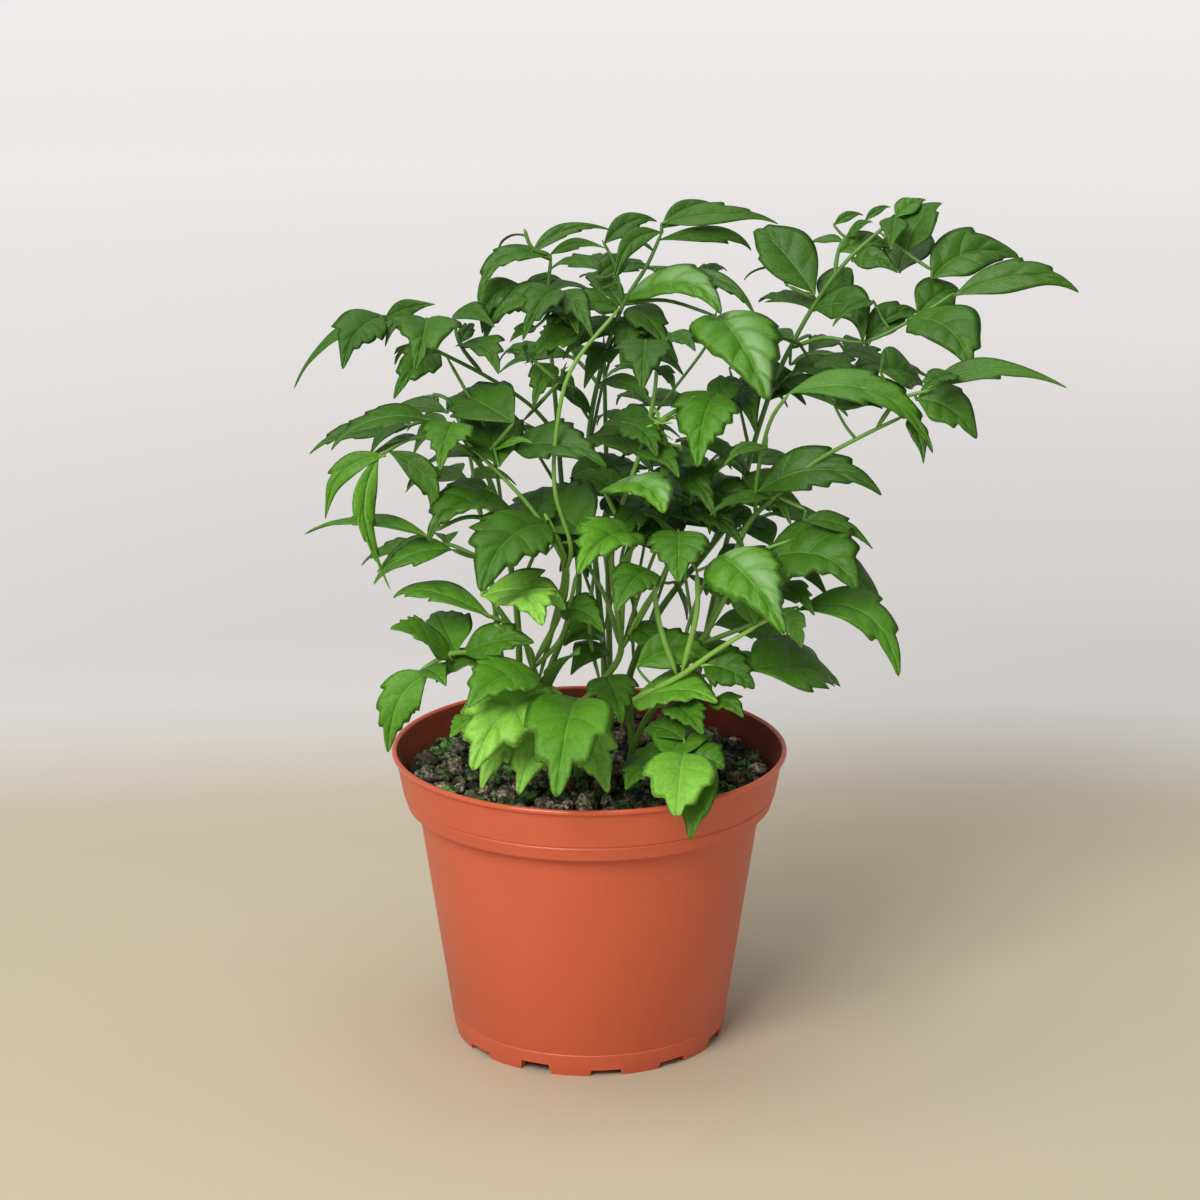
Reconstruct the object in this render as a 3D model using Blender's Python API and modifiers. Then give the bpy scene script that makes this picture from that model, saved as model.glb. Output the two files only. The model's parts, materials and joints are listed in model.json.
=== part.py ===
"""A potted china doll plant: a plastic nursery pot, its potting mix and the leafy stems that stand in it.

All sizes here are in millimetres and become metres in the meshes. Work is done about the pot's own axis,
with the floor at z = 0, and at the end everything is moved so that the middle of the whole plant's box
stands over the origin.
"""
import math
from collections import namedtuple

import bmesh
import bpy
from mathutils import Vector, noise
from mathutils.bvhtree import BVHTree

MM = 0.001
# How near two points are, in metres, to be made one: in a turned solid, and in a curve or sheet
TURNED_MERGE = 0.00005
WELD = 0.00001
# The least length, in mm, that is divided by
TINY = 1e-6
PLANT = "potted_china_doll_plant"

# The pot: a rolled lip, a band that tapers to a crease, a step in to the body, and a foot ring
POT_HEIGHT = 81.7
LIP_RADIUS = 54.0
LIP_BEAD = 0.75
LIP_BEAD_START = 150.0
LIP_BEAD_END = -45.0
LIP_BEAD_STEPS = 3
WALL = 1.3
BAND_TOP_RADIUS = 52.7
BAND_TOP_HEIGHT = 79.7
CREASE_RADIUS = 51.0
CREASE_HEIGHT = 70.4
BAND_FOOT_RADIUS = 50.0
BAND_FOOT_HEIGHT = 66.2
BAND_FOOT_EDGE = 0.8
BAND_INSIDE_FOOT = 67.4
BODY_TOP_RADIUS = 46.8
BODY_TOP_HEIGHT = 65.8
BODY_FOOT_RADIUS = 38.2
SHOULDER_HEIGHT = 6.2
FOOT_RADIUS = 37.2
FOOT_RING_WIDTH = 3.2
FOOT_RING_SLOPE = 0.4
FLOOR_UNDERSIDE = 2.6
FLOOR_TOP = 4.0
FLOOR_CORNER = 2.0
POT_SIDES = 32

# The foot ring's notches: twelve round the foot, every third one taller, with a drain slot inside it
NOTCHES = 12
FIRST_NOTCH = math.radians(7.0)
NOTCH_WIDTH = 10.0
NOTCH_TOP_SHARE = 0.8
NOTCH_HEIGHT = 1.8
NOTCH_OVERCUT = 3.0
SLOT_HEIGHT = 2.9
SLOT_FIRST = 2
SLOT_EVERY = 3
DRAIN_INNER = 28.5
DRAIN_OUTER = 34.5
DRAIN_WIDTH = 6.5
DRAIN_CUT_HEIGHT = 12.0

# The potting mix
SOIL_GAP = 0.3
SOIL_SIDE_GAP = 0.4
SOIL_STEP_RISE = 0.5
SOIL_EDGE_HEIGHT = 72.0
SOIL_MOUND = 2.4
SOIL_ROUGHNESS = 1.3
SOIL_GRAIN = 8.0
SOIL_RINGS = 4
HOLE_FLOOR = 56.0
HOLE_CLEARANCE = 0.5
HOLE_SIDES = 6

# The stems and their stalks: a stem leaves the potting mix upright before it bends
STEM_RISE = 1.0
STEM_TAPER = 0.5
STALK_RADIUS = 0.82
STALK_TAPER = 0.85
# The length over which a stem's lean is given
LEAN_SPAN = 100.0

# The leaflets: a leaflet nearer to a stalk than the shortest leaf stalk grows straight from it
LEAF_STALK_WIDTH = 0.8
SHORTEST_STALK = 5.0
# The least length of a leaflet for each mm of its width
SLENDERNESS = 2.1
BLADE_THICKNESS = 0.66
# How far a half of the blade rises for each mm out from the midrib
BLADE_FOLD = 0.16

# Where a leaflet would cross something it is slid in these steps until it is clear by this much
CLEARANCE = 0.35
SHIFT_STEP = 1.5
SHIFT_TRIES = 16

# Where the plant is looked at from, on the pot's axis plane, for the places in the tables below
EYE = Vector((0.0, -872.0, 375.3))
FRONT = Vector((0.0, -1.0, 0.0))
# Which way the upper side of a level leaf faces, and how little of that may be left on a steep leaf
LEAF_FACE = Vector((0.0, -0.5, 0.866))
LEAST_FACE = 0.2

# The outline of a leaflet: half width against the way along the blade
OUTLINE = (
    (0.0, 0.1), (0.1, 0.55), (0.22, 0.88), (0.36, 1.0), (0.52, 0.9), (0.68, 0.58), (0.84, 0.26), (1.0, 0.0))
# A tooth: how far before its point it starts, how far after it the bite is and ends, and how far it stands
# out and the bite goes in, as shares of the blade's length and of its half width
TOOTH_RISE = 0.24
TOOTH_FALL = 0.07
BITE_END = 0.21
TOOTH_REACH = 0.2
TOOTH_BITE = 0.14

PLAIN, LEFT, RIGHT, BOTH = "plain", "left", "right", "both"
TOOTH_PLACE = {LEFT: (0.50, None), RIGHT: (None, 0.50), BOTH: (0.46, 0.52), PLAIN: (None, None)}
# The ways along the blade where it is given cross lines
PLAIN_STATIONS = (0.30, 0.68)
WIDE_STATION = 0.26

# A stem: its root in the soil (x, y), its radius, its lean, its main path, its stalks and its leaflets.
# Path and stalk points are (across, up, behind): as seen from the front, how far right of the pot's axis and
# how far above the floor the point shows in the upright plane through the axis, and how far behind that
# plane it lies on the same line of sight. The lean puts it further behind by so many mm for each 100 mm
# above the lip.
# A leaflet is (base across, base up), (tip across, tip up), (base behind, tip behind), width,
# bow of its midrib (across, up), roll about its own length in degrees, teeth. Where a leaflet shows too
# short for its width it points more toward the front, or more to the back, than the two depths say.
Stem = namedtuple("Stem", "name root radius lean path stalks leaflets")
Leaflet = namedtuple("Leaflet", "base tip behind width bow roll teeth")

STEMS = (
    Stem(
        "stem_upper_left", (-9, 10), 1.5, 10,
        ((-11.5, 100, 4), (-10.5, 104, 2), (-6.2, 115, 0), (-3, 124, 0), (-3.5, 137, 2), (-7, 152, 7),
         (-8.5, 172, 10), (-10, 190, 9), (-11, 204, 8), (-10, 217, 8)),
        (
            ((-8, 168, 12), (-16, 177, 6), (-28, 185, 0), (-43, 193, -4), (-54, 200, -5)),
            ((-28, 185, 0), (-34, 193, 2), (-36, 201, 4)),
            ((-10, 201, 8), (-18, 209, 6)),
            ((-10, 217, 8), (-15, 219, 6), (-17, 224, 5)),
        ),
        (
            Leaflet((-55, 201), (-65, 187), (-6, -12), 14, (-2, 2), 10, BOTH),
            Leaflet((-57, 198), (-80, 182), (-4, 2), 9, (0, 4), -20, PLAIN),
            Leaflet((-54, 202), (-41, 204), (-5, -8), 7, (0, 1), -45, PLAIN),
            Leaflet((-50, 198), (-55, 190), (-4, -14), 7, (0, 2), 0, PLAIN),
            Leaflet((-43, 200), (-46, 187), (-6, -16), 15, (1, 3), 5, BOTH),
            Leaflet((-43, 194), (-52, 188), (-5, 2), 8, (0, 2), -20, PLAIN),
            Leaflet((-39, 191), (-52, 179), (-4, -12), 10, (0, 3), 15, BOTH),
            Leaflet((-35, 202), (-25, 198), (4, -2), 8, (0, 2), -10, PLAIN),
            Leaflet((-37, 193), (-30, 199), (0, 8), 6, (0, 1), -20, PLAIN),
            Leaflet((-35, 193), (-24, 186), (0, -8), 12, (1, 3), 5, BOTH),
            Leaflet((-11, 217), (-31, 207), (8, 2), 12, (-2, 6), -10, BOTH),
            Leaflet((-19, 210), (-28, 196), (6, -6), 12, (-3, 3), 25, LEFT),
            Leaflet((-15, 219), (7, 226), (6, 14), 9, (-2, 3), -15, RIGHT),
            Leaflet((-10, 218), (4, 219), (8, 0), 6, (0, 2), -45, PLAIN),
            Leaflet((-17, 209), (-6, 213), (6, 10), 10, (0, 2), -25, BOTH),
            Leaflet((-10, 205), (-28, 194), (8, -2), 12, (-2, 5), 0, BOTH),
            Leaflet((-10, 203), (-3, 197), (8, 0), 10, (1, 2), 0, RIGHT),
            Leaflet((-17, 223), (-25, 219), (5, 8), 6, (0, 2), -30, PLAIN),
        ),
    ),
    Stem(
        "stem_left", (-20, 10), 1.4, -4,
        ((-19, 105, 8), (-20, 124, 3), (-23, 142, -2), (-27, 157, -6), (-35, 166, -9), (-46, 168, -12),
         (-56, 163, -14)),
        (
            ((-24, 145, -3), (-33, 146, -10), (-42, 142, -14)),
            ((-30, 160, -8), (-25, 166, -12), (-20, 172, -14)),
            ((-22, 138, -1), (-30, 135, -8), (-37, 137, -12)),
        ),
        (
            Leaflet((-42, 174), (-70, 167), (-11, -14), 12, (0, 4), -15, BOTH),
            Leaflet((-36, 172), (-40, 160), (-11, -22), 12, (0, 2), 0, BOTH),
            Leaflet((-20, 172), (-36, 180), (-14, -8), 14, (-2, 2), 5, BOTH),
            Leaflet((-45, 168), (-62, 159), (-12, -6), 9, (0, 2), -30, LEFT),
            Leaflet((-57, 164), (-72, 145), (-14, -16), 8, (-4, 4), 30, PLAIN),
            Leaflet((-56, 161), (-52, 127), (-14, -24), 10, (-6, 0), 35, RIGHT),
            Leaflet((-53, 163), (-43, 144), (-14, -18), 8, (5, 2), -40, PLAIN),
            Leaflet((-43, 142), (-76, 144), (-14, -12), 9, (0, 3), -25, LEFT),
            Leaflet((-20, 147), (-44, 140), (-8, -14), 15, (-2, 6), -10, BOTH),
            Leaflet((-38, 137), (-59, 128), (-13, -18), 10, (0, 3), -10, RIGHT),
            Leaflet((-21, 165), (5, 161), (-8, -10), 14, (0, 3), 0, BOTH),
            Leaflet((-27, 157), (-44, 152), (-4, 10), 13, (0, 3), 0, BOTH),
        ),
    ),
    Stem(
        "stem_left_low", (-12, 1), 1.3, 0,
        ((-13, 95, -2), (-16, 106, -8), (-19, 114, -13), (-28, 119, -18)),
        (
            ((-15, 104, -7), (-8, 119, -11), (-6, 130, -13), (-8, 139, -15), (-12, 147, -16)),
            ((-13, 99, -4), (-24, 106, -16), (-36, 108, -22), (-46, 103, -26)),
            ((-17, 110, -10), (-27, 124, -20), (-30, 128, -22)),
        ),
        (
            Leaflet((-11, 144), (-29, 127), (-16, -26), 18, (-2, 4), 5, BOTH),
            Leaflet((0, 140), (-20, 151), (-16, -8), 17, (-1, 2), 0, BOTH),
            Leaflet((-28, 120), (-55, 125), (-18, -14), 9, (-2, 4), -25, LEFT),
            Leaflet((-29, 126), (-6, 124), (-22, -30), 12, (1, 3), 0, RIGHT),
            Leaflet((-12, 120), (4, 114), (-12, -22), 9, (0, 3), -10, BOTH),
            Leaflet((-39, 110), (-54, 117), (-23, -24), 10, (0, 2), 0, BOTH),
            Leaflet((-36, 110), (-42, 120), (-22, -16), 11, (0, 1), 10, LEFT),
            Leaflet((-34, 109), (-15, 111), (-21, -28), 10, (0, 2), -15, RIGHT),
            Leaflet((-46, 103), (-57, 80), (-26, -30), 12, (-3, 3), 20, BOTH),
            Leaflet((-45, 104), (-39, 99), (-26, -30), 7, (0, 1), 0, PLAIN),
            Leaflet((-23, 106), (-42, 100), (-15, -22), 11, (0, 3), -15, BOTH),
        ),
    ),
    Stem(
        "stem_front", (-3, -8), 1.3, 0,
        ((-4, 84, -14), (-6, 91, -22), (-8, 96, -27), (-13, 100, -30)),
        (
            ((-6, 90, -21), (-3, 95, -30)),
            ((-5, 85, -16), (-12, 88, -28)),
        ),
        (
            Leaflet((-13, 103), (-33, 93), (-30, -33), 14, (-1, 4), 0, BOTH),
            Leaflet((-13, 95), (-32, 75), (-28, -42), 18, (-2, 4), 5, BOTH),
            Leaflet((-3, 95), (-9, 68), (-30, -49), 23, (0, 5), 0, BOTH),
            Leaflet((-4, 84), (5, 68), (-22, -46), 12, (1, 4), -15, RIGHT),
            Leaflet((-9, 83), (-19, 68), (-24, -46), 11, (-1, 4), 15, LEFT),
            Leaflet((-17, 82), (-30, 69), (-28, -42), 8, (-1, 4), 0, PLAIN),
            Leaflet((-11, 99), (-3, 108), (-28, -30), 11, (0, 2), 0, RIGHT),
        ),
    ),
    Stem(
        "stem_front_right", (5, -2), 1.3, 0,
        ((4, 88, -8), (13, 95, -14), (24, 101, -20), (35, 109, -25), (46, 116, -28)),
        (
            ((24, 101, -20), (19, 116, -22), (17, 131, -22)),
            ((25, 102, -20), (29, 119, -24), (29, 131, -25)),
            ((10, 93, -12), (22, 93, -20)),
            ((29, 105, -22), (42, 103, -26)),
        ),
        (
            Leaflet((24, 142), (24, 128), (-24, -30), 12, (0, 2), 0, BOTH),
            Leaflet((35, 135), (53, 114), (-26, -38), 18, (-1, 4), -5, BOTH),
            Leaflet((11, 94), (35, 95), (-13, -24), 14, (0, 3), 5, RIGHT),
            Leaflet((13, 104), (34, 106), (-18, -14), 9, (0, 4), -25, LEFT),
            Leaflet((42, 103), (67, 99), (-26, -24), 14, (0, 3), 5, BOTH),
            Leaflet((31, 103), (45, 98), (-22, -30), 8, (0, 2), -10, BOTH),
            Leaflet((33, 94), (42, 90), (-22, -26), 7, (0, 2), 0, PLAIN),
            Leaflet((51, 120), (57, 109), (-28, -30), 6, (0, 1), 30, PLAIN),
            Leaflet((17, 131), (7, 120), (-22, -30), 11, (0, 3), 0, LEFT),
            Leaflet((22, 92), (31, 85), (-20, -30), 10, (0, 2), 0, BOTH),
        ),
    ),
    Stem(
        "stem_centre", (1, 7), 1.4, 8,
        ((-3, 91, 3), (3, 99, 2), (8.5, 108, 0), (7.5, 120, -3), (6, 135, -5), (9, 150, -8), (14, 165, -9),
         (17, 178, -9), (18, 188, -9)),
        (
            ((8.5, 108, 0), (9.4, 125, -3), (12, 140, -4), (17, 152, -4)),
            ((8.5, 109, 0), (5, 122, 1), (0, 132, 1), (-6, 142, 2)),
            ((8.5, 108, 0), (20, 130, -2), (27, 150, -3), (31, 168, -6), (34, 180, -7)),
            ((8, 145, -7), (4, 153, -10)),
            ((8, 130, -4), (14, 141, -12)),
        ),
        (
            Leaflet((14, 143), (-3, 131), (-13, -22), 15, (-1, 4), 0, BOTH),
            Leaflet((4, 154), (20, 148), (-10, -20), 16, (2, 4), 10, BOTH),
            Leaflet((5, 101), (9, 89), (2, -2), 12, (0, 2), 0, BOTH),
            Leaflet((9, 149), (19, 142), (-6, 4), 12, (0, 3), 0, PLAIN),
            Leaflet((27, 149), (14, 156), (-3, -10), 11, (0, 2), 0, BOTH),
            Leaflet((23, 138), (15, 147), (-2, -8), 10, (0, 2), 0, BOTH),
            Leaflet((30, 163), (19, 158), (-5, -10), 11, (0, 2), 0, BOTH),
            Leaflet((34, 180), (29, 160), (-8, -18), 14, (-1, 3), 0, BOTH),
            Leaflet((15, 194), (14, 182), (-8, -18), 13, (0, 3), 0, BOTH),
            Leaflet((21, 196), (28, 192), (-8, -14), 6, (0, 1), 0, PLAIN),
            Leaflet((14, 187), (3, 184), (-8, -12), 6, (0, 2), -20, PLAIN),
            Leaflet((18, 187), (23, 180), (-9, -16), 6, (0, 2), 0, PLAIN),
            Leaflet((14, 165), (24, 158), (-9, -16), 9, (0, 2), 0, PLAIN),
            Leaflet((8, 152), (-6, 158), (-8, -4), 10, (0, 2), 0, BOTH),
            Leaflet((30, 151), (49, 148), (-4, -8), 9, (0, 3), 0, BOTH),
            Leaflet((27, 143), (48, 143), (-4, 2), 9, (0, 3), 0, BOTH),
            Leaflet((27, 152), (39, 162), (-4, -12), 7, (0, 2), 0, PLAIN),
            Leaflet((31, 165), (45, 154), (-6, -2), 9, (0, 3), 0, PLAIN),
            Leaflet((32, 176), (40, 184), (-6, 2), 8, (0, 2), 0, PLAIN),
            Leaflet((15, 172), (2, 170), (-9, -2), 10, (0, 2), 0, BOTH),
            Leaflet((9, 172), (18, 163), (-8, -14), 10, (1, 2), 0, BOTH),
        ),
    ),
    Stem(
        "stem_top", (4, 20), 1.5, 22,
        ((4, 105, 19), (2, 130, 16), (0, 150, 12), (0, 170, 8), (4, 190, 4), (9, 204, 1), (15, 214, 0),
         (19, 223, 0)),
        (
            ((9, 204, 1), (20, 205, -3), (33, 201, -8)),
            ((15, 214, 0), (27, 213, 4)),
            ((0, 172, 8), (-7, 186, 4)),
        ),
        (
            Leaflet((20, 224), (50, 224), (0, 2), 13, (0, 2), -20, LEFT),
            Leaflet((16, 222), (43, 218), (0, -6), 9, (4, 3), -30, PLAIN),
            Leaflet((19, 225), (7, 208), (0, -10), 8, (-3, 4), 30, PLAIN),
            Leaflet((18, 223), (34, 229), (0, 10), 7, (0, 2), -30, PLAIN),
            Leaflet((13, 220), (4, 221), (0, 8), 7, (0, 2), -30, PLAIN),
            Leaflet((9, 205), (35, 202), (0, -10), 15, (2, 6), 0, RIGHT),
            Leaflet((18, 213), (44, 202), (0, -8), 9, (4, 4), -25, RIGHT),
            Leaflet((33, 202), (47, 179), (-8, -18), 18, (-1, 5), 5, BOTH),
            Leaflet((-7, 186), (-4, 178), (4, -4), 5, (0, 1), 0, PLAIN),
            Leaflet((2, 183), (18, 176), (6, -2), 12, (0, 3), 0, BOTH),
            Leaflet((0, 168), (17, 160), (8, 2), 14, (0, 4), 0, BOTH),
            Leaflet((9, 203), (-3, 212), (1, 8), 10, (0, 3), -10, BOTH),
            Leaflet((1, 174), (-14, 182), (8, 2), 12, (0, 3), 0, BOTH),
            Leaflet((26, 213), (37, 219), (4, 14), 9, (0, 3), -20, BOTH),
        ),
    ),
    Stem(
        "stem_right_top", (12, 15), 1.6, 14,
        ((10.6, 97, 13), (12.4, 106, 11), (18, 118, 9), (24, 127, 9), (32, 137, 9), (40, 149, 9),
         (43, 163, 7), (48, 180, 4), (53, 192, 2), (60, 205, 0), (68, 216, -2), (80, 227, -2)),
        (
            ((14, 110, 10), (11, 125, 8), (6, 133, 7), (1, 144, 6)),
            ((10.6, 94, 13), (7.5, 96, 12), (4.5, 104, 10), (4, 112, 9)),
            ((53, 192, 2), (62, 195, -6), (73, 194, -10), (87, 201, -12), (96, 207, -12)),
            ((76, 223, -2), (84, 217, -6), (90, 213, -8)),
            ((60, 205, 0), (52, 209, -2)),
            ((64, 211, -1), (66, 220, 4), (72, 226, 6)),
        ),
        (
            Leaflet((59, 209), (41, 224), (-2, 2), 13, (-1, 3), 5, BOTH),
            Leaflet((6, 112), (-7, 110), (7, 4), 10, (0, 3), 0, BOTH),
            Leaflet((4, 110), (-5, 102), (9, 4), 9, (0, 2), 0, PLAIN),
            Leaflet((50, 214), (40, 211), (0, 6), 6, (0, 1), -25, PLAIN),
            Leaflet((80, 227), (88, 232), (-2, 0), 6, (0, 1), 0, PLAIN),
            Leaflet((81, 227), (79, 219), (-2, -8), 7, (0, 1), 0, PLAIN),
            Leaflet((81, 214), (92, 231), (-4, -4), 10, (-2, 1), 20, RIGHT),
            Leaflet((90, 213), (113, 219), (-8, -6), 12, (-2, 4), -15, BOTH),
            Leaflet((96, 207), (129, 208), (-12, -14), 11, (2, 5), -20, LEFT),
            Leaflet((88, 205), (101, 210), (-12, -6), 8, (0, 2), -20, PLAIN),
            Leaflet((87, 201), (104, 188), (-12, -18), 15, (2, 4), 0, BOTH),
            Leaflet((73, 194), (87, 202), (-10, -8), 8, (0, 3), -20, BOTH),
            Leaflet((60, 201), (72, 194), (-4, -10), 8, (4, 5), -20, PLAIN),
            Leaflet((62, 203), (67, 214), (0, 0), 7, (0, 1), 0, PLAIN),
            Leaflet((60, 203), (44, 207), (-2, -6), 8, (0, 2), -20, BOTH),
            Leaflet((69, 217), (81, 214), (-2, -8), 7, (0, 2), -20, PLAIN),
            Leaflet((67, 219), (80, 219), (0, 6), 7, (0, 2), -20, PLAIN),
            Leaflet((64, 225), (72, 228), (5, 10), 5, (0, 1), -20, PLAIN),
            Leaflet((66, 223), (74, 226), (5, 0), 5, (0, 1), -20, PLAIN),
            Leaflet((72, 227), (79, 230), (6, 8), 5, (0, 1), -20, PLAIN),
            Leaflet((56, 194), (46, 195), (0, -8), 7, (0, 1), -20, PLAIN),
            Leaflet((60, 188), (71, 184), (2, -6), 9, (0, 2), 0, BOTH),
            Leaflet((47, 178), (57, 186), (4, 12), 10, (0, 2), 0, BOTH),
            Leaflet((75, 206), (64, 200), (-10, -14), 8, (0, 2), 0, PLAIN),
        ),
    ),
    Stem(
        "stem_right", (29, 7), 1.4, 0,
        ((28, 100, 4), (36, 125, -2), (42, 143, -7), (50, 152, -10), (60, 161, -14), (72, 168, -17),
         (84, 174, -19)),
        (
            ((44, 146, -8), (45, 158, -12), (48, 172, -16), (53, 180, -18)),
            ((76, 170, -18), (82, 178, -20), (91, 181, -22)),
            ((50, 152, -10), (58, 148, -16)),
        ),
        (
            Leaflet((53, 181), (93, 164), (-18, -26), 17, (3, 8), 0, BOTH),
            Leaflet((76, 186), (88, 182), (-18, -14), 8, (0, 2), -20, PLAIN),
            Leaflet((65, 177), (78, 176), (-16, -20), 7, (0, 2), -20, PLAIN),
            Leaflet((86, 173), (88, 161), (-19, -24), 8, (0, 1), 20, PLAIN),
            Leaflet((90, 180), (127, 181), (-22, -26), 10, (-2, 5), -15, RIGHT),
            Leaflet((88, 176), (103, 169), (-20, -24), 11, (0, 3), 0, BOTH),
            Leaflet((45, 153), (79, 154), (-12, -20), 13, (0, 6), -10, BOTH),
            Leaflet((58, 147), (77, 140), (-16, -16), 8, (0, 3), -20, PLAIN),
            Leaflet((49, 150), (32, 147), (-12, -18), 7, (0, 2), -15, BOTH),
            Leaflet((60, 162), (70, 158), (-14, -6), 10, (0, 2), 0, BOTH),
            Leaflet((47, 168), (36, 164), (-15, -18), 9, (0, 2), 0, BOTH),
        ),
    ),
    Stem(
        "stem_right_low", (11, 2), 1.3, 4,
        ((12.5, 82, 0), (16, 90, -3), (23, 99, -7), (33, 116, -10), (43, 134, -14), (55, 140, -16)),
        (
            ((30, 110, -9), (44, 116, -12), (56, 121, -16)),
            ((55, 140, -16), (68, 136, -12)),
            ((24, 98, -7), (33, 102, -8)),
        ),
        (
            Leaflet((47, 140), (74, 129), (-14, -22), 19, (2, 5), 0, BOTH),
            Leaflet((68, 136), (83, 127), (-12, -8), 9, (0, 2), -15, PLAIN),
            Leaflet((56, 122), (84, 102), (-16, -26), 14, (4, 8), 10, LEFT),
            Leaflet((41, 130), (56, 132), (-14, -4), 10, (0, 2), 0, BOTH),
            Leaflet((33, 103), (48, 108), (-8, 0), 10, (0, 3), 0, BOTH),
            Leaflet((28, 106), (16, 110), (-8, -12), 9, (0, 2), 0, BOTH),
        ),
    ),
    Stem(
        "seedling_front", (24, -30), 1.0, 0,
        ((26, 77, -36), (26, 79, -41)),
        (
            ((26, 77, -36), (22, 77, -39)),
        ),
        (
            Leaflet((26, 79), (24, 61), (-42, -58), 13, (0, 3), 0, BOTH),
            Leaflet((27, 75), (27, 55), (-40, -59), 10, (3, 3), -20, BOTH),
            Leaflet((22, 77), (28, 86), (-38, -34), 10, (0, 2), 10, PLAIN),
            Leaflet((30, 80), (37, 75), (-34, -36), 9, (0, 2), 0, PLAIN),
            Leaflet((24, 77), (8, 75), (-37, -36), 9, (0, 2), 0, RIGHT),
            Leaflet((15, 75), (10, 69), (-40, -42), 6, (0, 1), 0, PLAIN),
            Leaflet((26, 83), (14, 86), (-30, -26), 9, (0, 2), 0, BOTH),
        ),
    ),
)

# Stems at the back, which the front ones hide: root, radius, lean of the stem, and its leaves.
# A back leaf is (where on the stem it starts, heading in degrees, rise in degrees, length, leaflet pairs).
BackStem = namedtuple("BackStem", "name root radius top leaves")
BACK_STEMS = (
    BackStem(
        "stem_back_left", (-22, 27), 1.4, (-34, 38, 158),
        ((0.45, 150, 15, 28, 1), (0.7, 105, 25, 32, 1), (1.0, 190, 30, 24, 2), (1.0, 115, 35, 30, 1)),
    ),
    BackStem(
        "stem_back", (6, 33), 1.5, (4, 44, 186),
        ((0.4, 95, 20, 32, 1), (0.65, 60, 30, 32, 2), (0.8, 130, 30, 30, 1), (1.0, 90, 45, 34, 2)),
    ),
    BackStem(
        "stem_back_right", (27, 28), 1.5, (50, 38, 172),
        ((0.45, 30, 20, 30, 1), (0.7, 75, 25, 32, 1), (1.0, 10, 35, 32, 2), (1.0, 60, 40, 32, 1)),
    ),
)
BACK_STEM_BEND = 8.0
BACK_STEM_STEPS = 3
BACK_STALK_STEPS = 2
BACK_LEAF_SAG = 9.0
BACK_LEAFLET_LENGTH = 24.0
BACK_LEAFLET_WIDTH = 10.5
# Each pair of leaflets further in is smaller by this share
BACK_PAIR_SHRINK = 0.12
BACK_LEAFLET_SPREAD = 55.0
BACK_LEAFLET_DROOP = 20.0
BACK_RISE_SHARE = 0.3
BACK_LEAFLET_BOW = 3.0
BACK_LEAFLET_STEP = 1.5

# Colour and roughness of each kind of piece
POT_FINISH = ((0.52, 0.10, 0.045, 1.0), 0.5)
SOIL_FINISH = ((0.035, 0.025, 0.018, 1.0), 0.95)
LEAF_FINISH = ((0.055, 0.20, 0.025, 1.0), 0.4)


def clear_scene():
    """Start from an empty scene."""
    for thing in list(bpy.data.objects):
        bpy.data.objects.remove(thing, do_unlink=True)


def new_collection(name, hidden=False):
    """A collection linked under the scene."""
    group = bpy.data.collections.new(name)
    bpy.context.scene.collection.children.link(group)
    group.hide_render = hidden
    return group


def new_material(name, finish):
    """A Principled material with one colour and roughness."""
    colour, roughness = finish
    material = bpy.data.materials.new(name)
    material.use_nodes = True
    shader = material.node_tree.nodes["Principled BSDF"]
    shader.inputs["Base Color"].default_value = colour
    shader.inputs["Roughness"].default_value = roughness
    shader.inputs["Metallic"].default_value = 0.0
    return material


def new_object(name, mesh, group):
    """An object for a mesh, in a collection."""
    thing = bpy.data.objects.new(name, mesh)
    group.objects.link(thing)
    return thing


def baked_mesh(thing, weld=True):
    """The mesh that an object's modifiers give, with a curve's loose caps welded on."""
    graph = bpy.context.evaluated_depsgraph_get()
    mesh = bpy.data.meshes.new_from_object(thing.evaluated_get(graph))
    if weld:
        work = bmesh.new()
        work.from_mesh(mesh)
        bmesh.ops.remove_doubles(work, verts=work.verts, dist=WELD)
        work.to_mesh(mesh)
        work.free()
    return mesh


def seen(across, up, behind, lean=0.0):
    """The point that shows at (across, up) from the front and lies so far behind the axis plane."""
    shown = Vector((across, 0.0, up))
    behind += lean * max(0.0, up - POT_HEIGHT) / LEAN_SPAN
    return EYE + (shown - EYE) * ((behind - EYE.y) / -EYE.y)


def arc(centre, radius, start, end, count):
    """Points of an arc in the profile plane, angles in degrees."""
    points = []
    for step in range(count + 1):
        angle = math.radians(start + (end - start) * step / count)
        points.append((centre[0] + radius * math.cos(angle), centre[1] + radius * math.sin(angle)))
    return points


def turned(name, profile, group):
    """A solid turned about the z axis from a profile that starts and ends on the axis."""
    mesh = bpy.data.meshes.new(name)
    vertices = [(radius * MM, 0.0, height * MM) for radius, height in profile]
    mesh.from_pydata(vertices, [(i, i + 1) for i in range(len(profile) - 1)], [])
    thing = new_object(name, mesh, group)
    screw = thing.modifiers.new("turn", "SCREW")
    screw.steps = POT_SIDES
    screw.render_steps = POT_SIDES
    screw.use_merge_vertices = True
    screw.merge_threshold = TURNED_MERGE
    return thing


def body_radius(height):
    """Outer radius of the pot's body at a height."""
    way = (height - SHOULDER_HEIGHT) / (BODY_TOP_HEIGHT - SHOULDER_HEIGHT)
    return BODY_FOOT_RADIUS + (BODY_TOP_RADIUS - BODY_FOOT_RADIUS) * way


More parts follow.
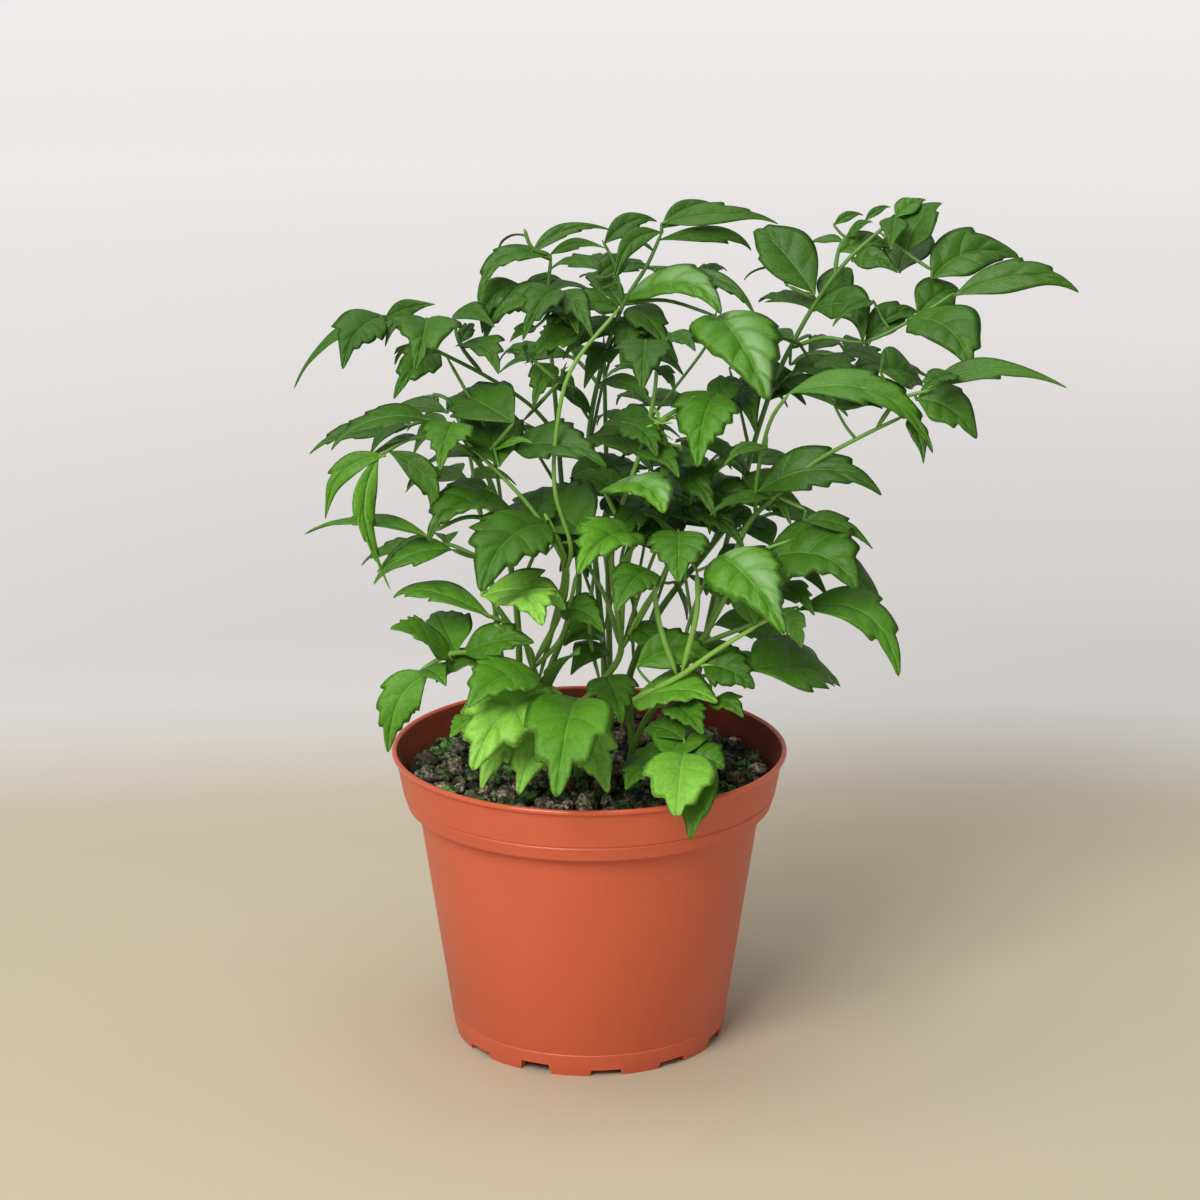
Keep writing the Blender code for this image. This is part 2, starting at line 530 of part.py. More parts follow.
def pot_profile():
    """The pot's section: up the inside from the floor, over the lip and down the outside."""
    inside = [
        (0.0, FLOOR_TOP),
        (body_radius(FLOOR_TOP) - WALL - FLOOR_CORNER, FLOOR_TOP),
        (BODY_FOOT_RADIUS - WALL, SHOULDER_HEIGHT),
        (BODY_TOP_RADIUS - WALL, BODY_TOP_HEIGHT),
        (BAND_FOOT_RADIUS - WALL, BAND_INSIDE_FOOT),
        (BAND_TOP_RADIUS - WALL, BAND_TOP_HEIGHT),
    ]
    bead_middle = (LIP_RADIUS - LIP_BEAD, POT_HEIGHT - LIP_BEAD)
    lip = arc(bead_middle, LIP_BEAD, LIP_BEAD_START, LIP_BEAD_END, LIP_BEAD_STEPS)
    ring_inside = FOOT_RADIUS - FOOT_RING_WIDTH
    outside = [
        (BAND_TOP_RADIUS, BAND_TOP_HEIGHT),
        (CREASE_RADIUS, CREASE_HEIGHT),
        (BAND_FOOT_RADIUS, BAND_FOOT_HEIGHT + BAND_FOOT_EDGE),
        (BAND_FOOT_RADIUS - BAND_FOOT_EDGE, BAND_FOOT_HEIGHT),
        (BODY_TOP_RADIUS, BODY_TOP_HEIGHT),
        (BODY_FOOT_RADIUS, SHOULDER_HEIGHT),
        (FOOT_RADIUS, 0.0),
        (ring_inside, 0.0),
        (ring_inside - FOOT_RING_SLOPE, FLOOR_UNDERSIDE),
        (0.0, FLOOR_UNDERSIDE),
    ]
    return inside + lip + outside


def wedge_cutter(name, size, top_share, place, angle, group):
    """A block, narrower at its top, turned to point along a radius: the angle runs from the front."""
    work = bmesh.new()
    bmesh.ops.create_cube(work, size=1.0)
    for vertex in work.verts:
        if vertex.co.z > 0.0:
            vertex.co.x *= top_share
    bmesh.ops.scale(work, vec=Vector(size) * MM, verts=work.verts)
    mesh = bpy.data.meshes.new(name)
    work.to_mesh(mesh)
    work.free()
    cutter = new_object(name, mesh, group)
    cutter.rotation_euler = (0.0, 0.0, angle)
    cutter.location = Vector((math.sin(angle) * place[0], -math.cos(angle) * place[0], place[1])) * MM
    cutter.hide_render = True
    cutter.display_type = "WIRE"
    return cutter


def add_cut(thing, cutter):
    """Cut one object with another."""
    cut = thing.modifiers.new("cut", "BOOLEAN")
    cut.operation = "DIFFERENCE"
    cut.solver = "EXACT"
    cut.object = cutter


def make_pot(group, cutters):
    """The thin moulded pot with its notched foot ring."""
    pot = turned("pot", pot_profile(), group)
    ring_middle = FOOT_RADIUS - FOOT_RING_WIDTH / 2.0
    drain_middle = (DRAIN_OUTER + DRAIN_INNER) / 2.0
    for index in range(NOTCHES):
        angle = FIRST_NOTCH + index * math.tau / NOTCHES
        is_slot = index % SLOT_EVERY == SLOT_FIRST
        height = SLOT_HEIGHT if is_slot else NOTCH_HEIGHT
        size = (NOTCH_WIDTH, FOOT_RING_WIDTH + NOTCH_OVERCUT, 2.0 * height)
        place = (ring_middle, 0.0)
        add_cut(pot, wedge_cutter(f"notch_{index}", size, NOTCH_TOP_SHARE, place, angle, cutters))
        if is_slot:
            size = (DRAIN_WIDTH, DRAIN_OUTER - DRAIN_INNER, DRAIN_CUT_HEIGHT)
            place = (drain_middle, FLOOR_TOP)
            add_cut(pot, wedge_cutter(f"drain_{index}", size, 1.0, place, angle, cutters))
    return pot


def soil_height(x, y):
    """Height of the potting mix's uneven surface, in mm."""
    radius = math.hypot(x, y)
    mound = SOIL_MOUND * (1.0 - (radius / LIP_RADIUS) ** 2)
    lumps = noise.noise(Vector((x, y, 0.0)) / SOIL_GRAIN) * SOIL_ROUGHNESS
    return SOIL_EDGE_HEIGHT + mound + lumps


def band_inside(height):
    """Inner radius of the pot's band at a height."""
    way = (height - BAND_INSIDE_FOOT) / (BAND_TOP_HEIGHT - BAND_INSIDE_FOOT)
    return BAND_FOOT_RADIUS + (BAND_TOP_RADIUS - BAND_FOOT_RADIUS) * way - WALL


def make_soil(group, cutters):
    """The potting mix, which fills the pot and has a plain hole for each stem."""
    edge = band_inside(SOIL_EDGE_HEIGHT) - SOIL_SIDE_GAP
    top = [(edge * ring / SOIL_RINGS, SOIL_EDGE_HEIGHT) for ring in range(SOIL_RINGS + 1)]
    inset = WALL + SOIL_SIDE_GAP
    side = [
        (BAND_FOOT_RADIUS - inset, BAND_INSIDE_FOOT + SOIL_STEP_RISE),
        (BODY_TOP_RADIUS - inset, BODY_TOP_HEIGHT + SOIL_STEP_RISE),
        (BODY_FOOT_RADIUS - inset, SHOULDER_HEIGHT + SOIL_GAP),
        (body_radius(FLOOR_TOP) - FLOOR_CORNER - inset, FLOOR_TOP + SOIL_GAP),
        (0.0, FLOOR_TOP + SOIL_GAP),
    ]
    shape = turned("soil_shape", top + side, group)
    mesh = baked_mesh(shape)
    mesh.name = "soil"
    bpy.data.objects.remove(shape)
    for vertex in mesh.vertices:
        if vertex.co.z > (SOIL_EDGE_HEIGHT - SOIL_GAP) * MM:
            vertex.co.z = soil_height(vertex.co.x / MM, vertex.co.y / MM) * MM
    soil = new_object("soil", mesh, group)
    for stem in STEMS + BACK_STEMS:
        add_cut(soil, hole_cutter(stem, cutters))
    return soil


def hole_cutter(stem, group):
    """A plain round plug where a stem stands in the potting mix."""
    work = bmesh.new()
    depth = POT_HEIGHT - HOLE_FLOOR
    radius = (stem.radius + HOLE_CLEARANCE) / math.cos(math.pi / HOLE_SIDES)
    bmesh.ops.create_cone(
        work, cap_ends=True, segments=HOLE_SIDES, radius1=radius * MM, radius2=radius * MM, depth=depth * MM)
    mesh = bpy.data.meshes.new(f"hole_{stem.name}")
    work.to_mesh(mesh)
    work.free()
    cutter = new_object(mesh.name, mesh, group)
    cutter.location = Vector((stem.root[0], stem.root[1], HOLE_FLOOR + depth / 2.0)) * MM
    cutter.hide_render = True
    cutter.display_type = "WIRE"
    return cutter


def smooth_path(points, steps):
    """Points of a smooth curve through the given ones, steps to each span."""
    ends = [points[0] * 2.0 - points[1]] + list(points) + [points[-1] * 2.0 - points[-2]]
    path = []
    for index in range(1, len(ends) - 2):
        before, start, end, after = ends[index - 1:index + 3]
        for step in range(steps):
            t = step / steps
            path.append(0.5 * (
                2.0 * start + (end - before) * t
                + (2.0 * before - 5.0 * start + 4.0 * end - after) * t * t
                + (3.0 * (start - end) + after - before) * t ** 3))
    path.append(points[-1].copy())
    return path


def nearest_on_paths(paths, point):
    """The point of a set of paths that lies nearest to a point."""
    best = None
    for path in paths:
        for start, end in zip(path, path[1:]):
            run = end - start
            way = max(0.0, min(1.0, (point - start).dot(run) / max(run.length_squared, TINY)))
            place = start + run * way
            if best is None or (place - point).length < (best - point).length:
                best = place
    return best


def tube_mesh(name, path, radius, taper, resolution):
    """The closed mesh of a round tube along a path, thinner toward its end."""
    curve = bpy.data.curves.new(name, "CURVE")
    curve.dimensions = "3D"
    curve.bevel_depth = radius * MM
    curve.bevel_resolution = resolution
    curve.use_fill_caps = True
    spline = curve.splines.new("POLY")
    spline.points.add(len(path) - 1)
    for index, (point, place) in enumerate(zip(spline.points, path)):
        point.co = (*(place * MM), 1.0)
        point.radius = 1.0 + (taper - 1.0) * index / (len(path) - 1)
    thing = bpy.data.objects.new(name, curve)
    bpy.context.scene.collection.objects.link(thing)
    bpy.context.view_layer.update()
    mesh = baked_mesh(thing)
    bpy.data.objects.remove(thing)
    return mesh


def stem_foot(root):
    """The upright start of a stem: its foot in the potting mix and where it begins to bend."""
    start = Vector((*root, HOLE_FLOOR + SOIL_GAP))
    bend = Vector((*root, soil_height(*root) + STEM_RISE))
    return [start, bend]


def stem_paths(stem):
    """The main path and the stalks of a stem, in the pot's own frame."""
    paths = [stem_foot(stem.root) + [seen(*point, stem.lean) for point in stem.path]]
    for stalk in stem.stalks:
        points = [seen(*point, stem.lean) for point in stalk]
        points[0] = nearest_on_paths(paths, points[0])
        paths.append(points)
    return paths


def half_width(way, tooth):
    """Half width of a leaflet, as a share of its widest, with one tooth at the given place or none."""
    for (start, low), (end, high) in zip(OUTLINE, OUTLINE[1:]):
        if way <= end:
            share = low + (high - low) * (way - start) / (end - start)
            break
    if tooth is not None:
        if tooth - TOOTH_RISE < way <= tooth:
            share += TOOTH_REACH * ((way - tooth + TOOTH_RISE) / TOOTH_RISE) ** 2
        elif tooth < way < tooth + BITE_END:
            share -= TOOTH_BITE
    return share


Blade = namedtuple("Blade", "root base tip bow width roll teeth")


def rib_point(blade, way):
    """A point of the midrib, which bows off the straight line from base to tip."""
    return blade.base.lerp(blade.tip, way) + blade.bow * (4.0 * way * (1.0 - way))


def blade_axes(blade, way):
    """Side and face directions of the blade at a place along its midrib."""
    along = ((blade.tip - blade.base) + blade.bow * (4.0 - 8.0 * way)).normalized()
    face = LEAF_FACE - along * LEAF_FACE.dot(along)
    if face.length < LEAST_FACE:
        face = FRONT - along * FRONT.dot(along)
    face.normalize()
    side = along.cross(face)
    turn = math.radians(blade.roll)
    return side * math.cos(turn) + face * math.sin(turn), face * math.cos(turn) - side * math.sin(turn)


def blade_point(blade, way, offset):
    """A point of the blade at a signed distance from its midrib: the halves fold up a little."""
    side, face = blade_axes(blade, way)
    return rib_point(blade, way) + side * offset + face * (abs(offset) * BLADE_FOLD)


def blade_stations(teeth):
    """Ways along the blade where its left and right edges are given a point."""
    if teeth == PLAIN:
        return [(way, way) for way in PLAIN_STATIONS]
    left, right = TOOTH_PLACE[teeth]
    left_tip = left if left is not None else right
    right_tip = right if right is not None else left
    bites = (left_tip + TOOTH_FALL, right_tip + TOOTH_FALL)
    return [(WIDE_STATION, WIDE_STATION), (left_tip, right_tip), bites]


def blade_surface(blade, with_stalk=True, grow=0.0):
    """Vertices and triangles of a leaflet's sheet, from its stalk's root to its tip."""
    left_tooth, right_tooth = TOOTH_PLACE[blade.teeth]
    half = blade.width / 2.0
    edge = LEAF_STALK_WIDTH / 2.0
    side, _face = blade_axes(blade, 0.0)
    vertices = [blade.base - side * edge, blade.base + side * edge]
    faces = []
    if with_stalk and (blade.base - blade.root).length > SHORTEST_STALK:
        vertices += [blade.root - side * edge, blade.root + side * edge]
        faces += [(2, 3, 1), (2, 1, 0)]
    low_left, low_right, low_rib = 0, 1, None
    for left_way, right_way in blade_stations(blade.teeth):
        first = len(vertices)
        left = half * half_width(left_way, left_tooth) + grow
        right = half * half_width(right_way, right_tooth) + grow
        vertices.append(blade_point(blade, left_way, -left))
        vertices.append(rib_point(blade, (left_way + right_way) / 2.0))
        vertices.append(blade_point(blade, right_way, right))
        if low_rib is None:
            faces += [(low_left, low_right, first + 1), (low_left, first + 1, first)]
            faces += [(low_right, first + 2, first + 1)]
        else:
            faces += [(low_left, low_rib, first + 1), (low_left, first + 1, first)]
            faces += [(low_rib, low_right, first + 2), (low_rib, first + 2, first + 1)]
        low_left, low_rib, low_right = first, first + 1, first + 2
    vertices.append(blade.tip.copy())
    tip = len(vertices) - 1
    faces += [(low_left, low_rib, tip), (low_rib, low_right, tip)]
    return vertices, faces


def sheet_mesh(name, vertices, faces, thickness):
    """A sheet thickened equally to both sides."""
    mesh = bpy.data.meshes.new(name)
    mesh.from_pydata([vertex * MM for vertex in vertices], [], faces)
    thing = bpy.data.objects.new(name, mesh)
    bpy.context.scene.collection.objects.link(thing)
    solidify = thing.modifiers.new("thickness", "SOLIDIFY")
    solidify.thickness = thickness * MM
    solidify.offset = 0.0
    bpy.context.view_layer.update()
    solid = baked_mesh(thing)
    bpy.data.objects.remove(thing)
    bpy.data.meshes.remove(mesh)
    return solid


def tree_of(mesh):
    """A search tree of a mesh's faces."""
    corners = [vertex.co for vertex in mesh.vertices]
    return BVHTree.FromPolygons(corners, [face.vertices for face in mesh.polygons])


def touches(tree, others):
    """Whether a search tree meets any of the others."""
    return any(tree.overlap(other) for other in others)


def slid(blade, shift):
    """The blade moved along its line of sight, with its stalk's root left where it is."""
    base = blade.base
    if (base - blade.root).length > SHORTEST_STALK:
        base = base + (base - EYE).normalized() * shift
    tip = blade.tip + (blade.tip - EYE).normalized() * shift
    return blade._replace(base=base, tip=tip)


def front_blades(stem, paths):
    """The hand-placed leaflets of a stem."""
    blades = []
    for leaflet in stem.leaflets:
        shown = math.dist(leaflet.base, leaflet.tip)
        reach = math.sqrt(max(0.0, (leaflet.width * SLENDERNESS) ** 2 - shown ** 2))
        from_base = leaflet.behind[1] - leaflet.behind[0]
        from_base = math.copysign(max(abs(from_base), reach), from_base)
        base = seen(*leaflet.base, leaflet.behind[0], stem.lean)
        tip = seen(*leaflet.tip, leaflet.behind[0] + from_base, stem.lean)
        bow = Vector((leaflet.bow[0], 0.0, leaflet.bow[1]))
        root = nearest_on_paths(paths, base)
        if (base - root).length < SHORTEST_STALK:
            base = root
        blades.append(Blade(root, base, tip, bow, leaflet.width, leaflet.roll, leaflet.teeth))
    return blades


def heading(degrees, rise):
    """A direction from its heading in the ground plane and its rise."""
    turn, lift = math.radians(degrees), math.radians(rise)
    return Vector((math.cos(turn) * math.cos(lift), math.sin(turn) * math.cos(lift), math.sin(lift)))


def back_paths_and_blades(stem):
    """The path, the stalks and the leaflets of a stem at the back, by rule."""
    foot, start = stem_foot(stem.root)
    top = Vector(stem.top)
    bend = start.lerp(top, 0.5) + Vector((0.0, 0.0, BACK_STEM_BEND))
    main_path = [foot] + smooth_path([start, bend, top], BACK_STEM_STEPS)
    paths, blades = [main_path], []
    for share, turn, rise, length, pairs in stem.leaves:
        origin = main_path[1 + round(share * (len(main_path) - 2))]
        reach = heading(turn, rise) * length
        sag = Vector((0.0, 0.0, -BACK_LEAF_SAG))
        stalk = smooth_path([origin, origin + reach * 0.5, origin + reach + sag], BACK_STALK_STEPS)
        paths.append(stalk)
        step = (stalk[-1] - stalk[0]).normalized() * BACK_LEAFLET_STEP
        for pair in range(pairs + 1):
            place = stalk[-1 - round(pair * (len(stalk) - 1) / (pairs + 1))]
            if pair == 0:
                blades.append(back_blade(place, turn, rise, pair, BOTH))
            else:
                blades.append(back_blade(place, turn - BACK_LEAFLET_SPREAD, rise, pair, PLAIN))
                blades.append(back_blade(place + step, turn + BACK_LEAFLET_SPREAD, rise, pair, PLAIN))
    return paths, blades


def back_blade(place, turn, rise, pair, teeth):
    """A leaflet at the back, smaller the further in its pair is."""
    size = 1.0 - BACK_PAIR_SHRINK * pair
    way = heading(turn, rise * BACK_RISE_SHARE - BACK_LEAFLET_DROOP)
    tip = place + way * (BACK_LEAFLET_LENGTH * size)
    bow = Vector((0.0, 0.0, BACK_LEAFLET_BOW))
    return Blade(place, place, tip, bow, BACK_LEAFLET_WIDTH * size, 0.0, teeth)


def place_plant(hard_parts):
    """The solids of every stem, with each leaflet bent clear of what it would cross."""
    plan = []
    for stem in STEMS:
        paths = stem_paths(stem)
        plan.append((stem, paths, front_blades(stem, paths)))
    for stem in BACK_STEMS:
        plan.append((stem, *back_paths_and_blades(stem)))
    solids = {}
    for stem, paths, _blades in plan:
        solids[stem.name] = [tube_mesh(stem.name, paths[0], stem.radius, STEM_TAPER, 1)]
        solids[stem.name] += [tube_mesh(stem.name, path, STALK_RADIUS, STALK_TAPER, 0) for path in paths[1:]]
    tube_trees = [(name, tree_of(mesh)) for name, meshes in solids.items() for mesh in meshes]
    blade_trees = []
    for stem, _paths, blades in plan:
        obstacles = hard_parts + [tree for name, tree in tube_trees if name != stem.name]
        for blade in blades:
            chosen = bent_clear(blade, obstacles, blade_trees, stem.name)
            solid = sheet_mesh("blade", *blade_surface(chosen), BLADE_THICKNESS)
            blade_trees.append((stem.name, tree_of(solid)))
            solids[stem.name].append(solid)
    return solids


def bent_clear(blade, obstacles, blade_trees, owner):
    """The blade, slid by the least step at which it meets nothing that it isn't fused to."""
    others = obstacles + [tree for name, tree in blade_trees if name != owner]
    own = [tree for name, tree in blade_trees if name == owner]
    fallback = None
    for attempt in range(SHIFT_TRIES * 2):
        shift = SHIFT_STEP * ((attempt + 1) // 2) * (1 if attempt % 2 else -1)
        trial = slid(blade, shift)
        probe = sheet_mesh("probe", *blade_surface(trial, True, CLEARANCE), BLADE_THICKNESS + 2.0 * CLEARANCE)
        if touches(tree_of(probe), others):
            continue
        if fallback is None:
            fallback = trial
        bare = sheet_mesh("probe", *blade_surface(trial, False, CLEARANCE), BLADE_THICKNESS)
        if not touches(tree_of(bare), own):
            return trial
    if fallback is None:
        print("no clear place for a leaflet of", owner)
    return fallback or blade


def fuse(name, meshes, group, material):
    """One object of many solids, joined by one Boolean union."""
    parts = bpy.data.collections.new(f"{name}_parts")
    bpy.context.scene.collection.children.link(parts)
    whole = new_object(name, meshes[0], group)
    for mesh in meshes[1:]:
        new_object(f"{name}_part", mesh, parts)
    union = whole.modifiers.new("union", "BOOLEAN")
    union.operation = "UNION"
    union.operand_type = "COLLECTION"
    union.collection = parts
    union.solver = "MANIFOLD"
    bpy.context.view_layer.update()
    whole.data = baked_mesh(whole, weld=False)
    whole.modifiers.clear()
    for thing in list(parts.objects):
        bpy.data.objects.remove(thing)
    bpy.data.collections.remove(parts)
    whole.data.materials.clear()
    whole.data.materials.append(material)
    return whole


def stand_over_origin(group, cutters):
    """Move everything so that the middle of the whole box is over the origin."""
    graph = bpy.context.evaluated_depsgraph_get()
    corners = []
    for thing in group.objects:
        corners += [thing.matrix_world @ Vector(corner) for corner in thing.evaluated_get(graph).bound_box]
    middle_x = (min(corner.x for corner in corners) + max(corner.x for corner in corners)) / 2.0
    middle_y = (min(corner.y for corner in corners) + max(corner.y for corner in corners)) / 2.0
    for thing in list(group.objects) + list(cutters.objects):
        thing.location -= Vector((middle_x, middle_y, 0.0))


def main():
    """Build the pot, the potting mix and the stems."""
    clear_scene()
    group = new_collection(PLANT)
    cutters = new_collection("cutters", hidden=True)
    pot = make_pot(group, cutters)
    soil = make_soil(group, cutters)
    pot.data.materials.append(new_material("pot_plastic", POT_FINISH))
    soil.data.materials.append(new_material("potting_mix", SOIL_FINISH))
    bpy.context.view_layer.update()
    hard_parts = [tree_of(baked_mesh(pot)), tree_of(baked_mesh(soil))]
    for name, meshes in place_plant(hard_parts).items():
        fuse(name, meshes, group, new_material(f"{name}_green", LEAF_FINISH))
    stand_over_origin(group, cutters)


main()
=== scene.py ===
"""A potted china doll plant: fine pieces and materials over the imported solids.

Lengths are in millimetres about the pot's own axis, with the floor at z = 0, and become metres as each
piece is made. Stems and leaflets start from the places that the solids were made from.
"""
import json
import math
import random
from collections import namedtuple

import bmesh
import bpy
from mathutils import Matrix, Quaternion, Vector, kdtree, noise

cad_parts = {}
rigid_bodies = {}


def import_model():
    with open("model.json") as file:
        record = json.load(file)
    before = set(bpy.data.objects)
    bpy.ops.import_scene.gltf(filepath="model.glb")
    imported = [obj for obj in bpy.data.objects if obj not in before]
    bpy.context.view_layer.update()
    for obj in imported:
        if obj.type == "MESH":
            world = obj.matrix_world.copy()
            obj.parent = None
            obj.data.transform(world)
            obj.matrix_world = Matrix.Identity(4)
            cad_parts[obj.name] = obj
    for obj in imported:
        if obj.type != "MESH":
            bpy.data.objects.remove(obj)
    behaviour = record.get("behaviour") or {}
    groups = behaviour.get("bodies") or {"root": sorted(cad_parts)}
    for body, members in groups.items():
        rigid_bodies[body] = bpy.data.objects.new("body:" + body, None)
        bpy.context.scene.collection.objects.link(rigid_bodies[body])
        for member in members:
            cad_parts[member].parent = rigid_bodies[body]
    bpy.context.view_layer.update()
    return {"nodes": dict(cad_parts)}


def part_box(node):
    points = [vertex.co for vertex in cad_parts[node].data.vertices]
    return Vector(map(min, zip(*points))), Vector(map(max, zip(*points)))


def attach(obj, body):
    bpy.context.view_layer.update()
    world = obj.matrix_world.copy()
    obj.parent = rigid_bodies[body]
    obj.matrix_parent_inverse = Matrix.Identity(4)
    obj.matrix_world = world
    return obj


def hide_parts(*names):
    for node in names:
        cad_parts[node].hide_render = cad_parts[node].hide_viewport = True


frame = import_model()
BODY = "root"
MM = 0.001
POT_LOW, POT_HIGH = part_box("pot")
AXIS = Vector(((POT_LOW[0] + POT_HIGH[0]) / 2.0, (POT_LOW[1] + POT_HIGH[1]) / 2.0, 0.0))
TO_WORLD = Matrix.Translation(AXIS) @ Matrix.Scale(MM, 4)
# The least length, in mm, that is divided by
TINY = 1e-6

# The pot: a rolled lip, a band that tapers to a crease, a step in to the body, and a foot ring
POT_HEIGHT = 81.7
LIP_RADIUS = 54.0
LIP_BEAD = 0.75
WALL = 1.3
BAND_TOP_RADIUS = 52.7
BAND_TOP_HEIGHT = 79.7
CREASE_RADIUS = 51.0
CREASE_HEIGHT = 70.4
BAND_FOOT_RADIUS = 50.0
BAND_FOOT_HEIGHT = 66.2
BAND_FOOT_EDGE = 0.8
BAND_INSIDE_FOOT = 67.4
BODY_TOP_RADIUS = 46.8
BODY_TOP_HEIGHT = 65.8
BODY_FOOT_RADIUS = 38.2
SHOULDER_HEIGHT = 6.2
FOOT_RADIUS = 37.2
FOOT_RING_WIDTH = 3.2
FOOT_RING_SLOPE = 0.4
FLOOR_UNDERSIDE = 2.6
FLOOR_TOP = 4.0
FLOOR_CORNER = 2.0

# The foot ring's notches: twelve round the foot, every third one taller, with a drain slot inside it
NOTCHES = 12
FIRST_NOTCH = math.radians(7.0)
NOTCH_WIDTH = 10.0
NOTCH_TOP_SHARE = 0.8
NOTCH_HEIGHT = 1.8
NOTCH_OVERCUT = 3.0
SLOT_HEIGHT = 2.9
SLOT_FIRST = 2
SLOT_EVERY = 3
DRAIN_INNER = 28.5
DRAIN_OUTER = 34.5
DRAIN_WIDTH = 6.5
DRAIN_CUT_HEIGHT = 12.0

# The potting mix
SOIL_GAP = 0.3
SOIL_EDGE_HEIGHT = 72.0
SOIL_MOUND = 2.4
SOIL_ROUGHNESS = 1.3
SOIL_GRAIN = 8.0
HOLE_FLOOR = 56.0

# The stems and their stalks: a stem leaves the potting mix upright before it bends
STEM_RISE = 1.0
STALK_RADIUS = 0.82
STALK_TAPER = 0.85
# The length over which a stem's lean is given
LEAN_SPAN = 100.0

# A leaflet nearer to a stalk than the shortest leaf stalk grows straight from it
SHORTEST_STALK = 5.0
# The least length of a leaflet for each mm of its width
SLENDERNESS = 2.1
# A solid leaflet that would have crossed something was slid in these steps until it was clear
SHIFT_STEP = 1.5
SHIFT_TRIES = 16

# Where the plant is looked at from, on the pot's axis plane, for the places in the tables below
EYE = Vector((0.0, -872.0, 375.3))
FRONT = Vector((0.0, -1.0, 0.0))
# Which way the upper side of a level leaf faces, and how little of that may be left on a steep leaf
LEAF_FACE = Vector((0.0, -0.5, 0.866))
LEAST_FACE = 0.2

# Which edges of a leaflet have more teeth
PLAIN, LEFT, RIGHT, BOTH = "plain", "left", "right", "both"
# How much wider than its thick solid a leaflet is where nothing else is said, and how bright one at the
# back is: dark, partly its own green and partly painted shade
WIDER_BY = 1.12
BACK_TONE = 0.18

# A stem: its root in the soil (x, y), its radius, its lean, its look, its main path, its stalks and its
# leaflets, then what the solids leave out: sprigs, more leaflets and young shoots.
# Its look is how slim it is beside its solid, its brightness from 0 to 1, how drawn-out its leaflets' tips
# are, and how many fewer teeth they have than others. Every brightness in these tables is partly the
# plant's own green and partly painted light and shade: stalks and leaflets in shadow are set darker, lit
# ones lighter.
# Path and stalk points are (across, up, behind): as seen from the front, how far right of the pot's axis
# and how far above the floor the point shows in the upright plane through the axis, and how far behind that
# plane it lies on the same line of sight. The lean puts it further behind by so many mm for each 100 mm
# above the lip.
# A leaflet is (base across, base up), (tip across, tip up), (base behind, tip behind), width, bow of its
# midrib (across, up), roll about its own length in degrees, teeth and brightness, then how much wider than
# its solid it is and how far it is moved (across, up). Where a leaflet shows too short for its width it
# points more toward the front, or more to the back, than the two depths say.
# A sprig is its stalk's path, the heading and rise of its end in degrees, its leaflet pairs and its
# brightness, or the path alone for a bare stalk. A shoot is its place, how many leaflets it has and how
# bright they are.
Stem = namedtuple(
    "Stem", "name root radius lean look path stalks leaflets sprigs more shoots", defaults=((), (), ()))
Leaflet = namedtuple(
    "Leaflet", "base tip behind width bow roll teeth tone wider nudge", defaults=(WIDER_BY, (0, 0)))
Sprig = namedtuple("Sprig", "path turn rise pairs tone", defaults=(None,) * 4)
Shoot = namedtuple("Shoot", "place count tone")

